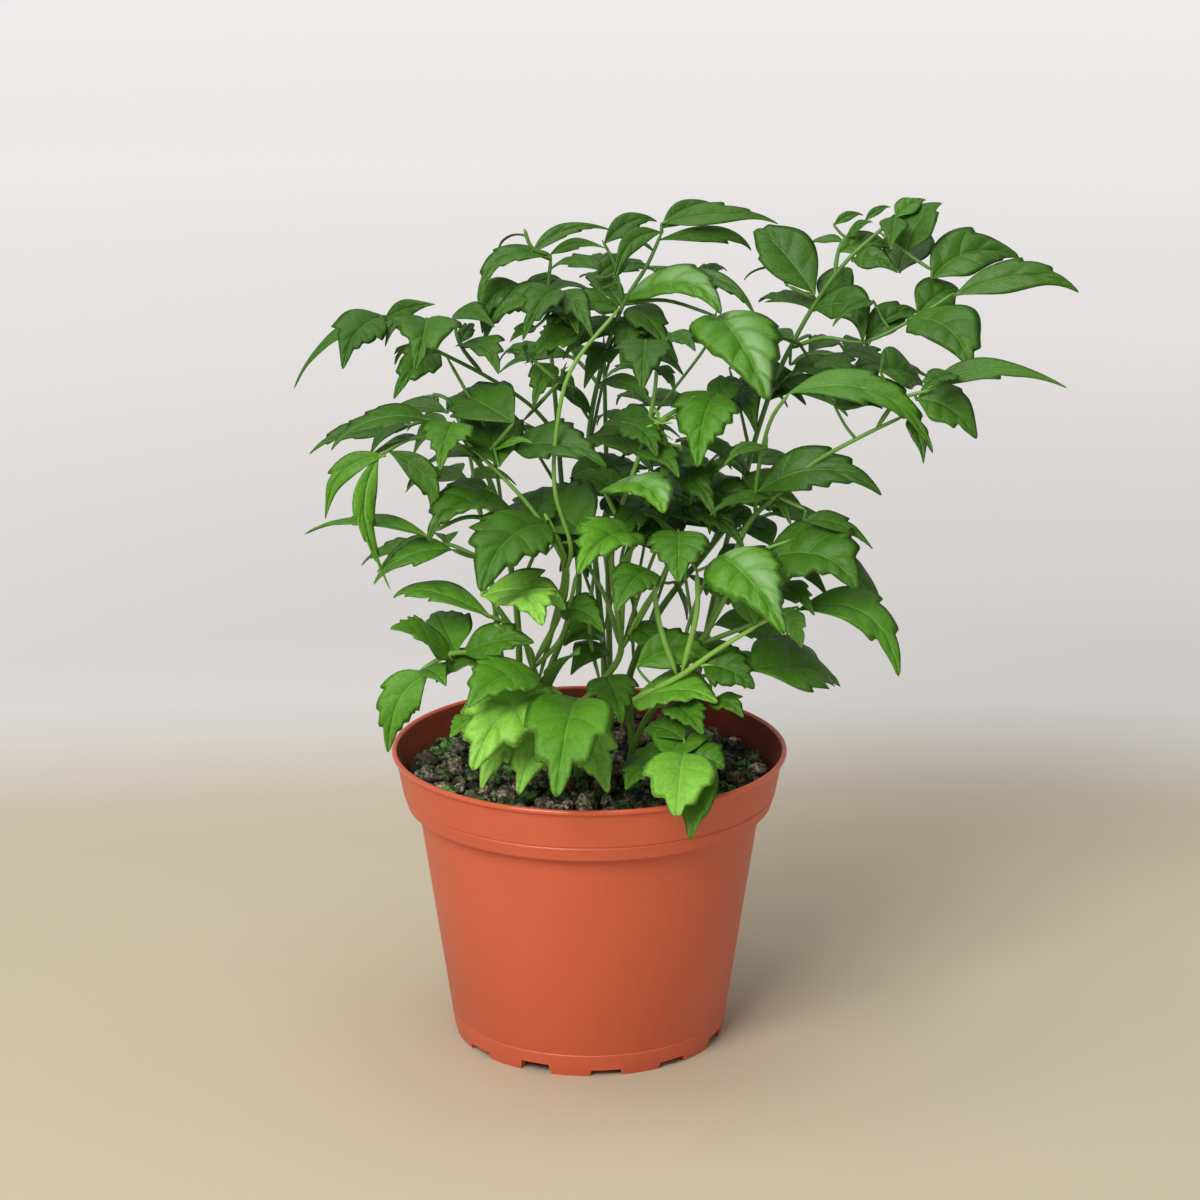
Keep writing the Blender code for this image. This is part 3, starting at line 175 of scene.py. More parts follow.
STEMS = (
    Stem(
        "stem_upper_left", (-9, 10), 1.5, 10, (0.72, 0.35, 0.8, 1),
        path=((-11.5, 100, 4), (-10.5, 104, 2), (-6.2, 115, 0), (-3, 124, 0), (-3.5, 137, 2),
              (-7, 152, 7), (-8.5, 172, 10), (-10, 190, 9), (-11, 204, 8), (-10, 217, 8)),
        stalks=(
            ((-8, 168, 12), (-16, 177, 6), (-28, 185, 0), (-43, 193, -4), (-54, 200, -5)),
            ((-28, 185, 0), (-34, 193, 2), (-36, 201, 4)),
            ((-10, 201, 8), (-18, 209, 6)),
            ((-10, 217, 8), (-15, 219, 6), (-17, 224, 5)),
        ),
        leaflets=(
            ((-55, 201), (-65, 187), (-6, -12), 14, (-2, 2), 10, BOTH, 0.24, 0.95, (0, 0.8)),
            ((-57, 198), (-80, 182), (-4, 2), 9, (0, 4), -20, PLAIN, 0.24),
            ((-54, 202), (-41, 204), (-5, -8), 7, (0, 1), -45, PLAIN, 0.2, 0.75),
            ((-50, 198), (-55, 190), (-4, -14), 7, (0, 2), 0, PLAIN, 0.2, 0.6, (1, 3)),
            ((-43, 200), (-46, 187), (-6, -16), 15, (1, 3), 5, BOTH, 0.26, 1.25),
            ((-43, 194), (-52, 188), (-5, 2), 8, (0, 2), -20, PLAIN, 0.2),
            ((-39, 191), (-52, 179), (-4, -12), 10, (0, 3), 15, BOTH, 0.3),
            ((-35, 202), (-25, 198), (4, -2), 8, (0, 2), -10, PLAIN, 0.2, 0.95),
            ((-37, 193), (-30, 199), (0, 8), 6, (0, 1), -20, PLAIN, 0.26, 0.7),
            ((-35, 193), (-24, 186), (0, -8), 12, (1, 3), 5, BOTH, 0.26, 1),
            ((-11, 217), (-31, 207), (8, 2), 12, (-2, 6), -10, BOTH, 0.26, 0.8, (0.8, -1.5)),
            ((-19, 210), (-28, 196), (6, -6), 12, (-3, 3), 25, LEFT, 0.3, 0.68),
            ((-15, 219), (7, 226), (6, 14), 9, (-2, 3), -15, RIGHT, 0.22, 0.5, (0, -1.8)),
            ((-10, 218), (4, 219), (8, 0), 6, (0, 2), -45, PLAIN, 0.2, 0.6),
            ((-17, 209), (-6, 213), (6, 10), 10, (0, 2), -25, BOTH, 0.24, 0.55, (0, -2.5)),
            ((-10, 205), (-28, 194), (8, -2), 12, (-2, 5), 0, BOTH, 0.3, 0.9),
            ((-10, 203), (-3, 197), (8, 0), 10, (1, 2), 0, RIGHT, 0.3, 1),
            ((-17, 223), (-25, 219), (5, 8), 6, (0, 2), -30, PLAIN, 0.26, 0.55, (0, -1)),
        ),
        sprigs=(
            (((-7, 152, 7), (-14, 164, 4), (-18, 172, 0)), 170, 10, 0, 0.2),
            (((-10, 201, 8), (-9, 206, 2), (-8, 208, -3)), -115, -10, 1, 0.24),
        ),
        more=(
            ((-9, 163), (-18, 171), (6, 2), 12, (0, 2), 0, BOTH, 0.2),
            ((-14, 198), (-21, 194), (2, 0), 5, (0, 1), 0, PLAIN, 0.2),
            ((-3, 196), (-16, 189), (-2, -8), 9, (0, 2), 10, BOTH, 0.36),
            ((-10, 188), (-15, 176), (0, -8), 8, (0, 2), 0, BOTH, 0.3),
            ((-2, 201), (-11, 190), (8, 2), 11, (0, 2), 0, BOTH, 0.18),
        ),
        shoots=(((-7, 184, -14), 7, 0), ((-17, 191, -12), 7, 0.05)),
    ),
    Stem(
        "stem_left", (-20, 10), 1.4, -4, (0.8, 0.4, 0.7, 0),
        path=((-19, 105, 8), (-20, 124, 3), (-23, 142, -2), (-27, 157, -6), (-35, 166, -9),
              (-46, 168, -12), (-56, 163, -14)),
        stalks=(
            ((-24, 145, -3), (-33, 146, -10), (-42, 142, -14)),
            ((-30, 160, -8), (-25, 166, -12), (-20, 172, -14)),
            ((-22, 138, -1), (-30, 135, -8), (-37, 137, -12)),
        ),
        leaflets=(
            ((-42, 174), (-70, 167), (-11, -14), 12, (0, 4), -15, BOTH, 0.26, 1, (0, -1.5)),
            ((-36, 172), (-40, 160), (-11, -22), 12, (0, 2), 0, BOTH, 0.42),
            ((-20, 172), (-36, 180), (-14, -8), 14, (-2, 2), 5, BOTH, 0.24, 1.3),
            ((-45, 168), (-62, 159), (-12, -6), 9, (0, 2), -30, LEFT, 0.32),
            ((-57, 164), (-72, 145), (-14, -16), 8, (-4, 4), 30, PLAIN, 0.56, 0.75, (1.8, 0)),
            ((-56, 161), (-52, 127), (-14, -24), 10, (-6, 0), 35, RIGHT, 0.58, 0.7),
            ((-53, 163), (-43, 144), (-14, -18), 8, (5, 2), -40, PLAIN, 0.3, 0.9),
            ((-43, 142), (-76, 144), (-14, -12), 9, (0, 3), -25, LEFT, 0.42, 1.15, (-1, -1.5)),
            ((-20, 147), (-44, 140), (-8, -14), 15, (-2, 6), -10, BOTH, 0.26),
            ((-38, 137), (-59, 128), (-13, -18), 10, (0, 3), -10, RIGHT, 0.34),
            ((-21, 165), (5, 161), (-8, -10), 14, (0, 3), 0, BOTH, 0.2),
            ((-27, 157), (-44, 152), (-4, 10), 13, (0, 3), 0, BOTH, 0.24, 0.5, (0, -2.5)),
        ),
        sprigs=(
            (((-22, 142, -2), (-24.5, 157, -2), (-28, 171, -2), (-38, 190.5, 4)),),
            (((-20, 124, 3), (-14, 138, 3), (-12, 150, 0)), -100, 0, 1, 0.2),
        ),
        more=(
            ((-28, 165), (-50, 155), (-6, 2), 15, (0, 4), -15, BOTH, 0.26),
            ((-24, 160), (-29, 178), (-16, -4), 17, (0, 2), 0, BOTH, 0.3),
            ((-23, 163), (-15, 167), (-10, -14), 5, (0, 1), 0, PLAIN, 0.5),
        ),
    ),
    Stem(
        "stem_left_low", (-12, 1), 1.3, 0, (0.95, 0.7, 0.3, 0),
        path=((-13, 95, -2), (-16, 106, -8), (-19, 114, -13), (-28, 119, -18)),
        stalks=(
            ((-15, 104, -7), (-8, 119, -11), (-6, 130, -13), (-8, 139, -15), (-12, 147, -16)),
            ((-13, 99, -4), (-24, 106, -16), (-36, 108, -22), (-46, 103, -26)),
            ((-17, 110, -10), (-27, 124, -20), (-30, 128, -22)),
        ),
        leaflets=(
            ((-11, 144), (-29, 127), (-16, -26), 18, (-2, 4), 5, BOTH, 0.24),
            ((0, 140), (-20, 151), (-16, -8), 17, (-1, 2), 0, BOTH, 0.22, 1.45, (0, 1)),
            ((-28, 120), (-55, 125), (-18, -14), 9, (-2, 4), -25, LEFT, 0.56, 1.6, (1.5, -1)),
            ((-29, 126), (-6, 124), (-22, -30), 12, (1, 3), 0, RIGHT, 0.78, 1.2, (0, -2.5)),
            ((-12, 120), (4, 114), (-12, -22), 9, (0, 3), -10, BOTH, 0.4),
            ((-39, 110), (-54, 117), (-23, -24), 10, (0, 2), 0, BOTH, 0.4, 1.3, (0.8, -1.2)),
            ((-36, 110), (-42, 120), (-22, -16), 11, (0, 1), 10, LEFT, 0.38, 1.3),
            ((-34, 109), (-15, 111), (-21, -28), 10, (0, 2), -15, RIGHT, 0.3),
            ((-46, 103), (-57, 80), (-26, -30), 12, (-3, 3), 20, BOTH, 0.38, 0.95, (2.4, -0.8)),
            ((-45, 104), (-39, 99), (-26, -30), 7, (0, 1), 0, PLAIN, 0.3),
            ((-23, 106), (-42, 100), (-15, -22), 11, (0, 3), -15, BOTH, 0.34),
        ),
        sprigs=(
            (((-13, 99, -4), (-7, 128, -13), (-9, 138, -15), (-16, 149, -16), (-24.5, 158.5, -15),
              (-33, 167, -13)),),
            (((-13, 99, -4), (-7, 128, -13), (-5, 138, -17), (-9, 152, -19), (-9, 167, -19),
              (-5, 186, -18), (8, 203, -14)),),
            (((-12, 104.5, -6), (-7.8, 112, -10), (-4.9, 123, -13), (-3.5, 130, -14)),),
            (((-12.5, 103, -6), (-16, 109, -16), (-22, 113.5, -24), (-25.5, 116, -27)),),
        ),
        more=(
            ((-22, 123), (-13, 117), (-23, -28), 16, (1, 3), 0, BOTH, 0.85),
            ((-22, 123), (-7, 121), (-22, -24), 8, (0, 2), 0, PLAIN, 0.78),
        ),
    ),
    Stem(
        "stem_front", (-3, -8), 1.3, 0, (1, 0.62, 0, 0),
        path=((-4, 84, -14), (-6, 91, -22), (-8, 96, -27), (-13, 100, -30)),
        stalks=(
            ((-6, 90, -21), (-3, 95, -30)),
            ((-5, 85, -16), (-12, 88, -28)),
        ),
        leaflets=(
            ((-13, 103), (-33, 93), (-30, -33), 14, (-1, 4), 0, BOTH, 0.5),
            ((-13, 95), (-32, 75), (-28, -42), 18, (-2, 4), 5, BOTH, 0.92, 1.1),
            ((-3, 95), (-9, 68), (-30, -49), 23, (0, 5), 0, BOTH, 0.42, 0.95),
            ((-4, 84), (5, 68), (-22, -46), 12, (1, 4), -15, RIGHT, 0.84),
            ((-9, 83), (-19, 68), (-24, -46), 11, (-1, 4), 15, LEFT, 0.9),
            ((-17, 82), (-30, 69), (-28, -42), 8, (-1, 4), 0, PLAIN, 0.84),
            ((-11, 99), (-3, 108), (-28, -30), 11, (0, 2), 0, RIGHT, 0.3),
        ),
        more=(
            ((-30, 90), (-38, 84), (-24, -27), 7, (0, 1), 0, BOTH, 0.6),
            ((-20, 79), (-16, 72), (-30, -34), 6, (0, 1), 0, BOTH, 0.75),
        ),
    ),
    Stem(
        "stem_front_right", (5, -2), 1.3, 0, (0.95, 0.8, 0.15, 0),
        path=((4, 88, -8), (13, 95, -14), (24, 101, -20), (35, 109, -25), (46, 116, -28)),
        stalks=(
            ((24, 101, -20), (19, 116, -22), (17, 131, -22)),
            ((25, 102, -20), (29, 119, -24), (29, 131, -25)),
            ((10, 93, -12), (22, 93, -20)),
            ((29, 105, -22), (42, 103, -26)),
        ),
        leaflets=(
            ((24, 142), (24, 128), (-24, -30), 12, (0, 2), 0, BOTH, 0.34, 1.3),
            ((35, 135), (53, 114), (-26, -38), 18, (-1, 4), -5, BOTH, 0.46),
            ((11, 94), (35, 95), (-13, -24), 14, (0, 3), 5, RIGHT, 0.6, 1.3),
            ((13, 104), (34, 106), (-18, -14), 9, (0, 4), -25, LEFT, 0.44, 1.25),
            ((42, 103), (67, 99), (-26, -24), 14, (0, 3), 5, BOTH, 0.18, 1.7, (1.6, 0)),
            ((31, 103), (45, 98), (-22, -30), 8, (0, 2), -10, BOTH, 0.16, 1.6),
            ((33, 94), (42, 90), (-22, -26), 7, (0, 2), 0, PLAIN, 0.2),
            ((51, 120), (57, 109), (-28, -30), 6, (0, 1), 30, PLAIN, 0.66, 2, (0.8, 0.4)),
            ((17, 131), (7, 120), (-22, -30), 11, (0, 3), 0, LEFT, 0.26),
            ((22, 92), (31, 85), (-20, -30), 10, (0, 2), 0, BOTH, 0.3),
        ),
        more=(
            ((44, 118), (38, 128), (-26, -20), 7, (0, 1), 0, PLAIN, 0.4),
        ),
    ),
    Stem(
        "stem_centre", (1, 7), 1.4, 8, (0.8, 0.7, 0.4, 0),
        path=((-3, 91, 3), (3, 99, 2), (8.5, 108, 0), (7.5, 120, -3), (6, 135, -5), (9, 150, -8),
              (14, 165, -9), (17, 178, -9), (18, 188, -9)),
        stalks=(
            ((8.5, 108, 0), (9.4, 125, -3), (12, 140, -4), (17, 152, -4)),
            ((8.5, 109, 0), (5, 122, 1), (0, 132, 1), (-6, 142, 2)),
            ((8.5, 108, 0), (20, 130, -2), (27, 150, -3), (31, 168, -6), (34, 180, -7)),
            ((8, 145, -7), (4, 153, -10)),
            ((8, 130, -4), (14, 141, -12)),
        ),
        leaflets=(
            ((14, 143), (-3, 131), (-13, -22), 15, (-1, 4), 0, BOTH, 0.62),
            ((4, 154), (20, 148), (-10, -20), 16, (2, 4), 10, BOTH, 0.62, 1.2),
            ((5, 101), (9, 89), (2, -2), 12, (0, 2), 0, BOTH, 0.35),
            ((9, 149), (19, 142), (-6, 4), 12, (0, 3), 0, PLAIN, 0.3),
            ((27, 149), (14, 156), (-3, -10), 11, (0, 2), 0, BOTH, 0.34),
            ((23, 138), (15, 147), (-2, -8), 10, (0, 2), 0, BOTH, 0.3),
            ((30, 163), (19, 158), (-5, -10), 11, (0, 2), 0, BOTH, 0.32),
            ((34, 180), (29, 160), (-8, -18), 14, (-1, 3), 0, BOTH, 0.48, 1.2),
            ((15, 194), (14, 182), (-8, -18), 13, (0, 3), 0, BOTH, 0.22, 1.15),
            ((21, 196), (28, 192), (-8, -14), 6, (0, 1), 0, PLAIN, 0.2),
            ((14, 187), (3, 184), (-8, -12), 6, (0, 2), -20, PLAIN, 0.2, 0.8),
            ((18, 187), (23, 180), (-9, -16), 6, (0, 2), 0, PLAIN, 0.2, 0.7),
            ((14, 165), (24, 158), (-9, -16), 9, (0, 2), 0, PLAIN, 0.3),
            ((8, 152), (-6, 158), (-8, -4), 10, (0, 2), 0, BOTH, 0.22),
            ((30, 151), (49, 148), (-4, -8), 9, (0, 3), 0, BOTH, 0.22, 1.4),
            ((27, 143), (48, 143), (-4, 2), 9, (0, 3), 0, BOTH, 0.22, 1.5),
            ((27, 152), (39, 162), (-4, -12), 7, (0, 2), 0, PLAIN, 0.45),
            ((31, 165), (45, 154), (-6, -2), 9, (0, 3), 0, PLAIN, 0.35),
            ((32, 176), (40, 184), (-6, 2), 8, (0, 2), 0, PLAIN, 0.34),
            ((15, 172), (2, 170), (-9, -2), 10, (0, 2), 0, BOTH, 0.2),
            ((9, 172), (18, 163), (-8, -14), 10, (1, 2), 0, BOTH, 0.26),
        ),
        sprigs=(
            (((3, 99, 2), (0, 115, 5), (2, 135, 8), (5, 152, 6)), -70, 0, 1, 0.2),
            (((8.5, 108, 0), (14, 126, 4), (20, 142, 4), (24, 150, 0)), -40, 0, 1, 0.2),
            (((7.5, 120, -3), (10, 140, -2), (22, 160, -4)), -60, 0, 1, 0.24),
            (((8.5, 108, 0), (13.8, 119.5, -8), (19.8, 129, -13)),),
        ),
        more=(
            ((12, 115), (22, 106), (4, 0), 10, (0, 2), 0, BOTH, 0.2),
            ((-5, 155), (16, 160), (3, 7), 14, (0, 2), 0, BOTH, 0.2),
            ((23, 128), (27, 117), (4, 6), 7, (0, 1), 0, PLAIN, 0.2),
        ),
        shoots=(((18, 172, -14), 8, 0.9), ((21, 166, -14), 7, 0.85), ((24, 176, -13), 5, 0.7)),
    ),
    Stem(
        "stem_top", (4, 20), 1.5, 22, (0.7, 0.35, 0.8, 1),
        path=((4, 105, 19), (2, 130, 16), (0, 150, 12), (0, 170, 8), (4, 190, 4), (9, 204, 1),
              (15, 214, 0), (19, 223, 0)),
        stalks=(
            ((9, 204, 1), (20, 205, -3), (33, 201, -8)),
            ((15, 214, 0), (27, 213, 4)),
            ((0, 172, 8), (-7, 186, 4)),
        ),
        leaflets=(
            ((20, 224), (50, 224), (0, 2), 13, (0, 2), -20, LEFT, 0.24, 0.55, (0, 2.5)),
            ((16, 222), (43, 218), (0, -6), 9, (4, 3), -30, PLAIN, 0.22, 0.55),
            ((19, 225), (7, 208), (0, -10), 8, (-3, 4), 30, PLAIN, 0.26, 0.7),
            ((18, 223), (34, 229), (0, 10), 7, (0, 2), -30, PLAIN, 0.22, 0.95, (0, 1.5)),
            ((13, 220), (4, 221), (0, 8), 7, (0, 2), -30, PLAIN, 0.2, 0.6),
            ((9, 205), (35, 202), (0, -10), 15, (2, 6), 0, RIGHT, 0.46, 1),
            ((18, 213), (44, 202), (0, -8), 9, (4, 4), -25, RIGHT, 0.22, 0.55, (0, -2)),
            ((33, 202), (47, 179), (-8, -18), 18, (-1, 5), 5, BOTH, 0.42, 1.3, (0.4, -0.6)),
            ((-7, 186), (-4, 178), (4, -4), 5, (0, 1), 0, PLAIN, 0.26, 0.7),
            ((2, 183), (18, 176), (6, -2), 12, (0, 3), 0, BOTH, 0.22, 0.6),
            ((0, 168), (17, 160), (8, 2), 14, (0, 4), 0, BOTH, 0.26),
            ((9, 203), (-3, 212), (1, 8), 10, (0, 3), -10, BOTH, 0.26, 0.85),
            ((1, 174), (-14, 182), (8, 2), 12, (0, 3), 0, BOTH, 0.2, 0.6),
            ((26, 213), (37, 219), (4, 14), 9, (0, 3), -20, BOTH, 0.2, 0.5, (0, -6)),
        ),
        sprigs=(
            (((9, 204, 1), (6.6, 214.5, 1), (3.4, 221, 1)),),
            (((4, 112, 18), (8, 130, 15), (14, 147, 10), (20, 158, 4)), -50, 0, 1, 0.18),
            (((3, 118, 17), (-3, 135, 12), (-8, 150, 5)), -130, 0, 1, 0.18),
            (((0, 165, 9), (4, 184, 9), (10, 203, 8)), -60, 0, 1, 0.2),
            (((4, 190, 4), (8, 197, 8), (12, 200, 9)), -100, 0, 1, 0.22),
            (((4, 150, 12), (14, 170, 6), (20, 178, 4), (31, 193, 0), (33.5, 202, -4)),),
        ),
        more=(
            ((4, 220), (18, 226), (2, 6), 6, (0, 3), -30, RIGHT, 0.22),
            ((2, 211), (12, 215), (4, 8), 7, (0, 2), -25, PLAIN, 0.22),
            ((0, 208), (-13, 206), (6, 2), 9, (0, 2), -15, BOTH, 0.2),
            ((4, 204), (-9, 200), (2, -6), 12, (0, 3), 5, BOTH, 0.32),
            ((5, 200), (-3, 193), (6, 2), 9, (0, 2), 0, BOTH, 0.18),
        ),
    ),
    Stem(
        "stem_right_top", (12, 15), 1.6, 14, (0.7, 0.4, 0.75, 2),
        path=((10.6, 97, 13), (12.4, 106, 11), (18, 118, 9), (24, 127, 9), (32, 137, 9), (40, 149, 9),
              (43, 163, 7), (48, 180, 4), (53, 192, 2), (60, 205, 0), (68, 216, -2), (80, 227, -2)),
        stalks=(
            ((14, 110, 10), (11, 125, 8), (6, 133, 7), (1, 144, 6)),
            ((10.6, 94, 13), (7.5, 96, 12), (4.5, 104, 10), (4, 112, 9)),
            ((53, 192, 2), (62, 195, -6), (73, 194, -10), (87, 201, -12), (96, 207, -12)),
            ((76, 223, -2), (84, 217, -6), (90, 213, -8)),
            ((60, 205, 0), (52, 209, -2)),
            ((64, 211, -1), (66, 220, 4), (72, 226, 6)),
        ),
        leaflets=(
            ((59, 209), (41, 224), (-2, 2), 13, (-1, 3), 5, BOTH, 0.22, 1.25, (2, 0.5)),
            ((6, 112), (-7, 110), (7, 4), 10, (0, 3), 0, BOTH, 0.3),
            ((4, 110), (-5, 102), (9, 4), 9, (0, 2), 0, PLAIN, 0.3),
            ((50, 214), (40, 211), (0, 6), 6, (0, 1), -25, PLAIN, 0.24, 0.6),
            ((80, 227), (88, 232), (-2, 0), 6, (0, 1), 0, PLAIN, 0.34),
            ((81, 227), (79, 219), (-2, -8), 7, (0, 1), 0, PLAIN, 0.3),
            ((81, 214), (92, 231), (-4, -4), 10, (-2, 1), 20, RIGHT, 0.24, 1.5),
            ((90, 213), (113, 219), (-8, -6), 12, (-2, 4), -15, BOTH, 0.26, 1.2, (0, -2.3)),
            ((96, 207), (129, 208), (-12, -14), 11, (2, 5), -20, LEFT, 0.28, 0.9, (0, -0.8)),
            ((88, 205), (101, 210), (-12, -6), 8, (0, 2), -20, PLAIN, 0.22, 1.5, (-3, -1.5)),
            ((87, 201), (104, 188), (-12, -18), 15, (2, 4), 0, BOTH, 0.26, 1.3, (-3, -1)),
            ((73, 194), (87, 202), (-10, -8), 8, (0, 3), -20, BOTH, 0.22),
            ((60, 201), (72, 194), (-4, -10), 8, (4, 5), -20, PLAIN, 0.22, 1.5),
            ((62, 203), (67, 214), (0, 0), 7, (0, 1), 0, PLAIN, 0.26, 1.35, (1.8, 0)),
            ((60, 203), (44, 207), (-2, -6), 8, (0, 2), -20, BOTH, 0.22, 1.75, (0, -1.5)),
            ((69, 217), (81, 214), (-2, -8), 7, (0, 2), -20, PLAIN, 0.22, WIDER_BY, (0, -1.5)),
            ((67, 219), (80, 219), (0, 6), 7, (0, 2), -20, PLAIN, 0.26),
            ((64, 225), (72, 228), (5, 10), 5, (0, 1), -20, PLAIN, 0.26, 0.6),
            ((66, 223), (74, 226), (5, 0), 5, (0, 1), -20, PLAIN, 0.26, 0.8),
            ((72, 227), (79, 230), (6, 8), 5, (0, 1), -20, PLAIN, 0.26, 0.5),
            ((56, 194), (46, 195), (0, -8), 7, (0, 1), -20, PLAIN, 0.2),
            ((60, 188), (71, 184), (2, -6), 9, (0, 2), 0, BOTH, 0.16),
            ((47, 178), (57, 186), (4, 12), 10, (0, 2), 0, BOTH, 0.26),
            ((75, 206), (64, 200), (-10, -14), 8, (0, 2), 0, PLAIN, 0.26, 0.7, (0, -1.5)),
        ),
        sprigs=(
            (((32, 137, 9), (38, 150, 4), (42, 158, -2)), -60, 0, 1, 0.2),
            (((43, 163, 7), (40, 176, 8), (37, 187, 8)), -20, 0, 1, 0.18),
            (((14, 110, 10), (20, 128, 12), (26, 148, 13), (30, 166, 12)), 100, 0, 1, 0.16),
            (((12, 104, 12), (12, 122, 14), (15, 140, 16), (16, 160, 16)), 60, 0, 1, 0.16),
            (((48, 180, 4), (54, 186, 2)), 30, 0, 1, 0.18),
        ),
        more=(
            ((86, 200), (73, 193), (-12, -12), 9, (0, 3), -15, BOTH, 0.22),
            ((66, 222), (57, 220), (2, 4), 5, (0, 1), -10, PLAIN, 0.24),
            ((81.5, 212.5), (89, 226.5), (1, 5), 14, (-1, 1), 0, PLAIN, 0.22),
        ),
    ),
    Stem(
        "stem_right", (29, 7), 1.4, 0, (0.75, 0.5, 0.7, 1),
        path=((28, 100, 4), (36, 125, -2), (42, 143, -7), (50, 152, -10), (60, 161, -14), (72, 168, -17),
              (84, 174, -19)),
        stalks=(
            ((44, 146, -8), (45, 158, -12), (48, 172, -16), (53, 180, -18)),
            ((76, 170, -18), (82, 178, -20), (91, 181, -22)),
            ((50, 152, -10), (58, 148, -16)),
        ),
        leaflets=(
            ((53, 181), (93, 164), (-18, -26), 17, (3, 8), 0, BOTH, 0.42, 0.75),
            ((76, 186), (88, 182), (-18, -14), 8, (0, 2), -20, PLAIN, 0.12, 1.7, (1, 0)),
            ((65, 177), (78, 176), (-16, -20), 7, (0, 2), -20, PLAIN, 0.26),
            ((86, 173), (88, 161), (-19, -24), 8, (0, 1), 20, PLAIN, 0.2, 0.8, (1.5, 0)),
            ((90, 180), (127, 181), (-22, -26), 10, (-2, 5), -15, RIGHT, 0.26, 0.7, (0, 0.7)),
            ((88, 176), (103, 169), (-20, -24), 11, (0, 3), 0, BOTH, 0.34, 1.35, (0.5, -1.2)),
            ((45, 153), (79, 154), (-12, -20), 13, (0, 6), -10, BOTH, 0.2, WIDER_BY, (0, -0.8)),
            ((58, 147), (77, 140), (-16, -16), 8, (0, 3), -20, PLAIN, 0.2, 0.7, (-0.5, -2.8)),
            ((49, 150), (32, 147), (-12, -18), 7, (0, 2), -15, BOTH, 0.2),
            ((60, 162), (70, 158), (-14, -6), 10, (0, 2), 0, BOTH, 0.2),
            ((47, 168), (36, 164), (-15, -18), 9, (0, 2), 0, BOTH, 0.26, 0.6, (0, -3)),
        ),
        sprigs=(
            (((36, 125, -2), (44, 132, 2), (52, 138, 6)), 20, 0, 1, 0.2),
            (((29, 106, 3), (27, 122, 4), (25, 138, 6), (26, 152, 8)), 120, 0, 1, 0.18),
        ),
        more=(
            ((97, 185), (88, 181), (-22, -26), 8, (0, 1), -10, BOTH, 0.24),
            ((50, 127), (61, 119), (-12, -18), 9, (0, 2), 0, BOTH, 0.34),
        ),
    ),
    Stem(
        "stem_right_low", (11, 2), 1.3, 4, (0.85, 0.55, 0.5, 0),
        path=((12.5, 82, 0), (16, 90, -3), (23, 99, -7), (33, 116, -10), (43, 134, -14), (55, 140, -16)),
        stalks=(
            ((30, 110, -9), (44, 116, -12), (56, 121, -16)),
            ((55, 140, -16), (68, 136, -12)),
            ((24, 98, -7), (33, 102, -8)),
        ),
        leaflets=(
            ((47, 140), (74, 129), (-14, -22), 19, (2, 5), 0, BOTH, 0.22, 1.4, (-1.5, -2.5)),
            ((68, 136), (83, 127), (-12, -8), 9, (0, 2), -15, PLAIN, 0.2, WIDER_BY, (-4, -4)),
            ((56, 122), (84, 102), (-16, -26), 14, (4, 8), 10, LEFT, 0.42, WIDER_BY, (0.5, -0.8)),
            ((41, 130), (56, 132), (-14, -4), 10, (0, 2), 0, BOTH, 0.25),
            ((33, 103), (48, 108), (-8, 0), 10, (0, 3), 0, BOTH, 0.24, 0.8, (0, -2)),
            ((28, 106), (16, 110), (-8, -12), 9, (0, 2), 0, BOTH, 0.3),
        ),
        sprigs=(
            (((16, 90, -3), (24, 105, 6), (34, 116, 10)), 10, 0, 1, 0.2),
            (((23, 99, -7), (28, 120, 0), (34, 134, 2)), 30, 0, 1, 0.2),
        ),
        more=(
            ((49, 138), (41, 147), (0, 6), 9, (0, 1), 0, PLAIN, 0.22),
        ),
    ),
    Stem(
        "seedling_front", (24, -30), 1, 0, (1, 0.66, 0, 0),
        path=((26, 77, -36), (26, 79, -41)),
        stalks=(
            ((26, 77, -36), (22, 77, -39)),
        ),
        leaflets=(
            ((26, 79), (24, 61), (-42, -58), 13, (0, 3), 0, BOTH, 0.66, 1.3),
            ((27, 75), (27, 55), (-40, -59), 10, (3, 3), -20, BOTH, 0.24, 1.1),
            ((22, 77), (28, 86), (-38, -34), 10, (0, 2), 10, PLAIN, 0.32, 1.5),
            ((30, 80), (37, 75), (-34, -36), 9, (0, 2), 0, PLAIN, 0.18, 1.3),
            ((24, 77), (8, 75), (-37, -36), 9, (0, 2), 0, RIGHT, 0.1, 1.35),
            ((15, 75), (10, 69), (-40, -42), 6, (0, 1), 0, PLAIN, 0.14),
            ((26, 83), (14, 86), (-30, -26), 9, (0, 2), 0, BOTH, 0.18),
        ),
    ),
)

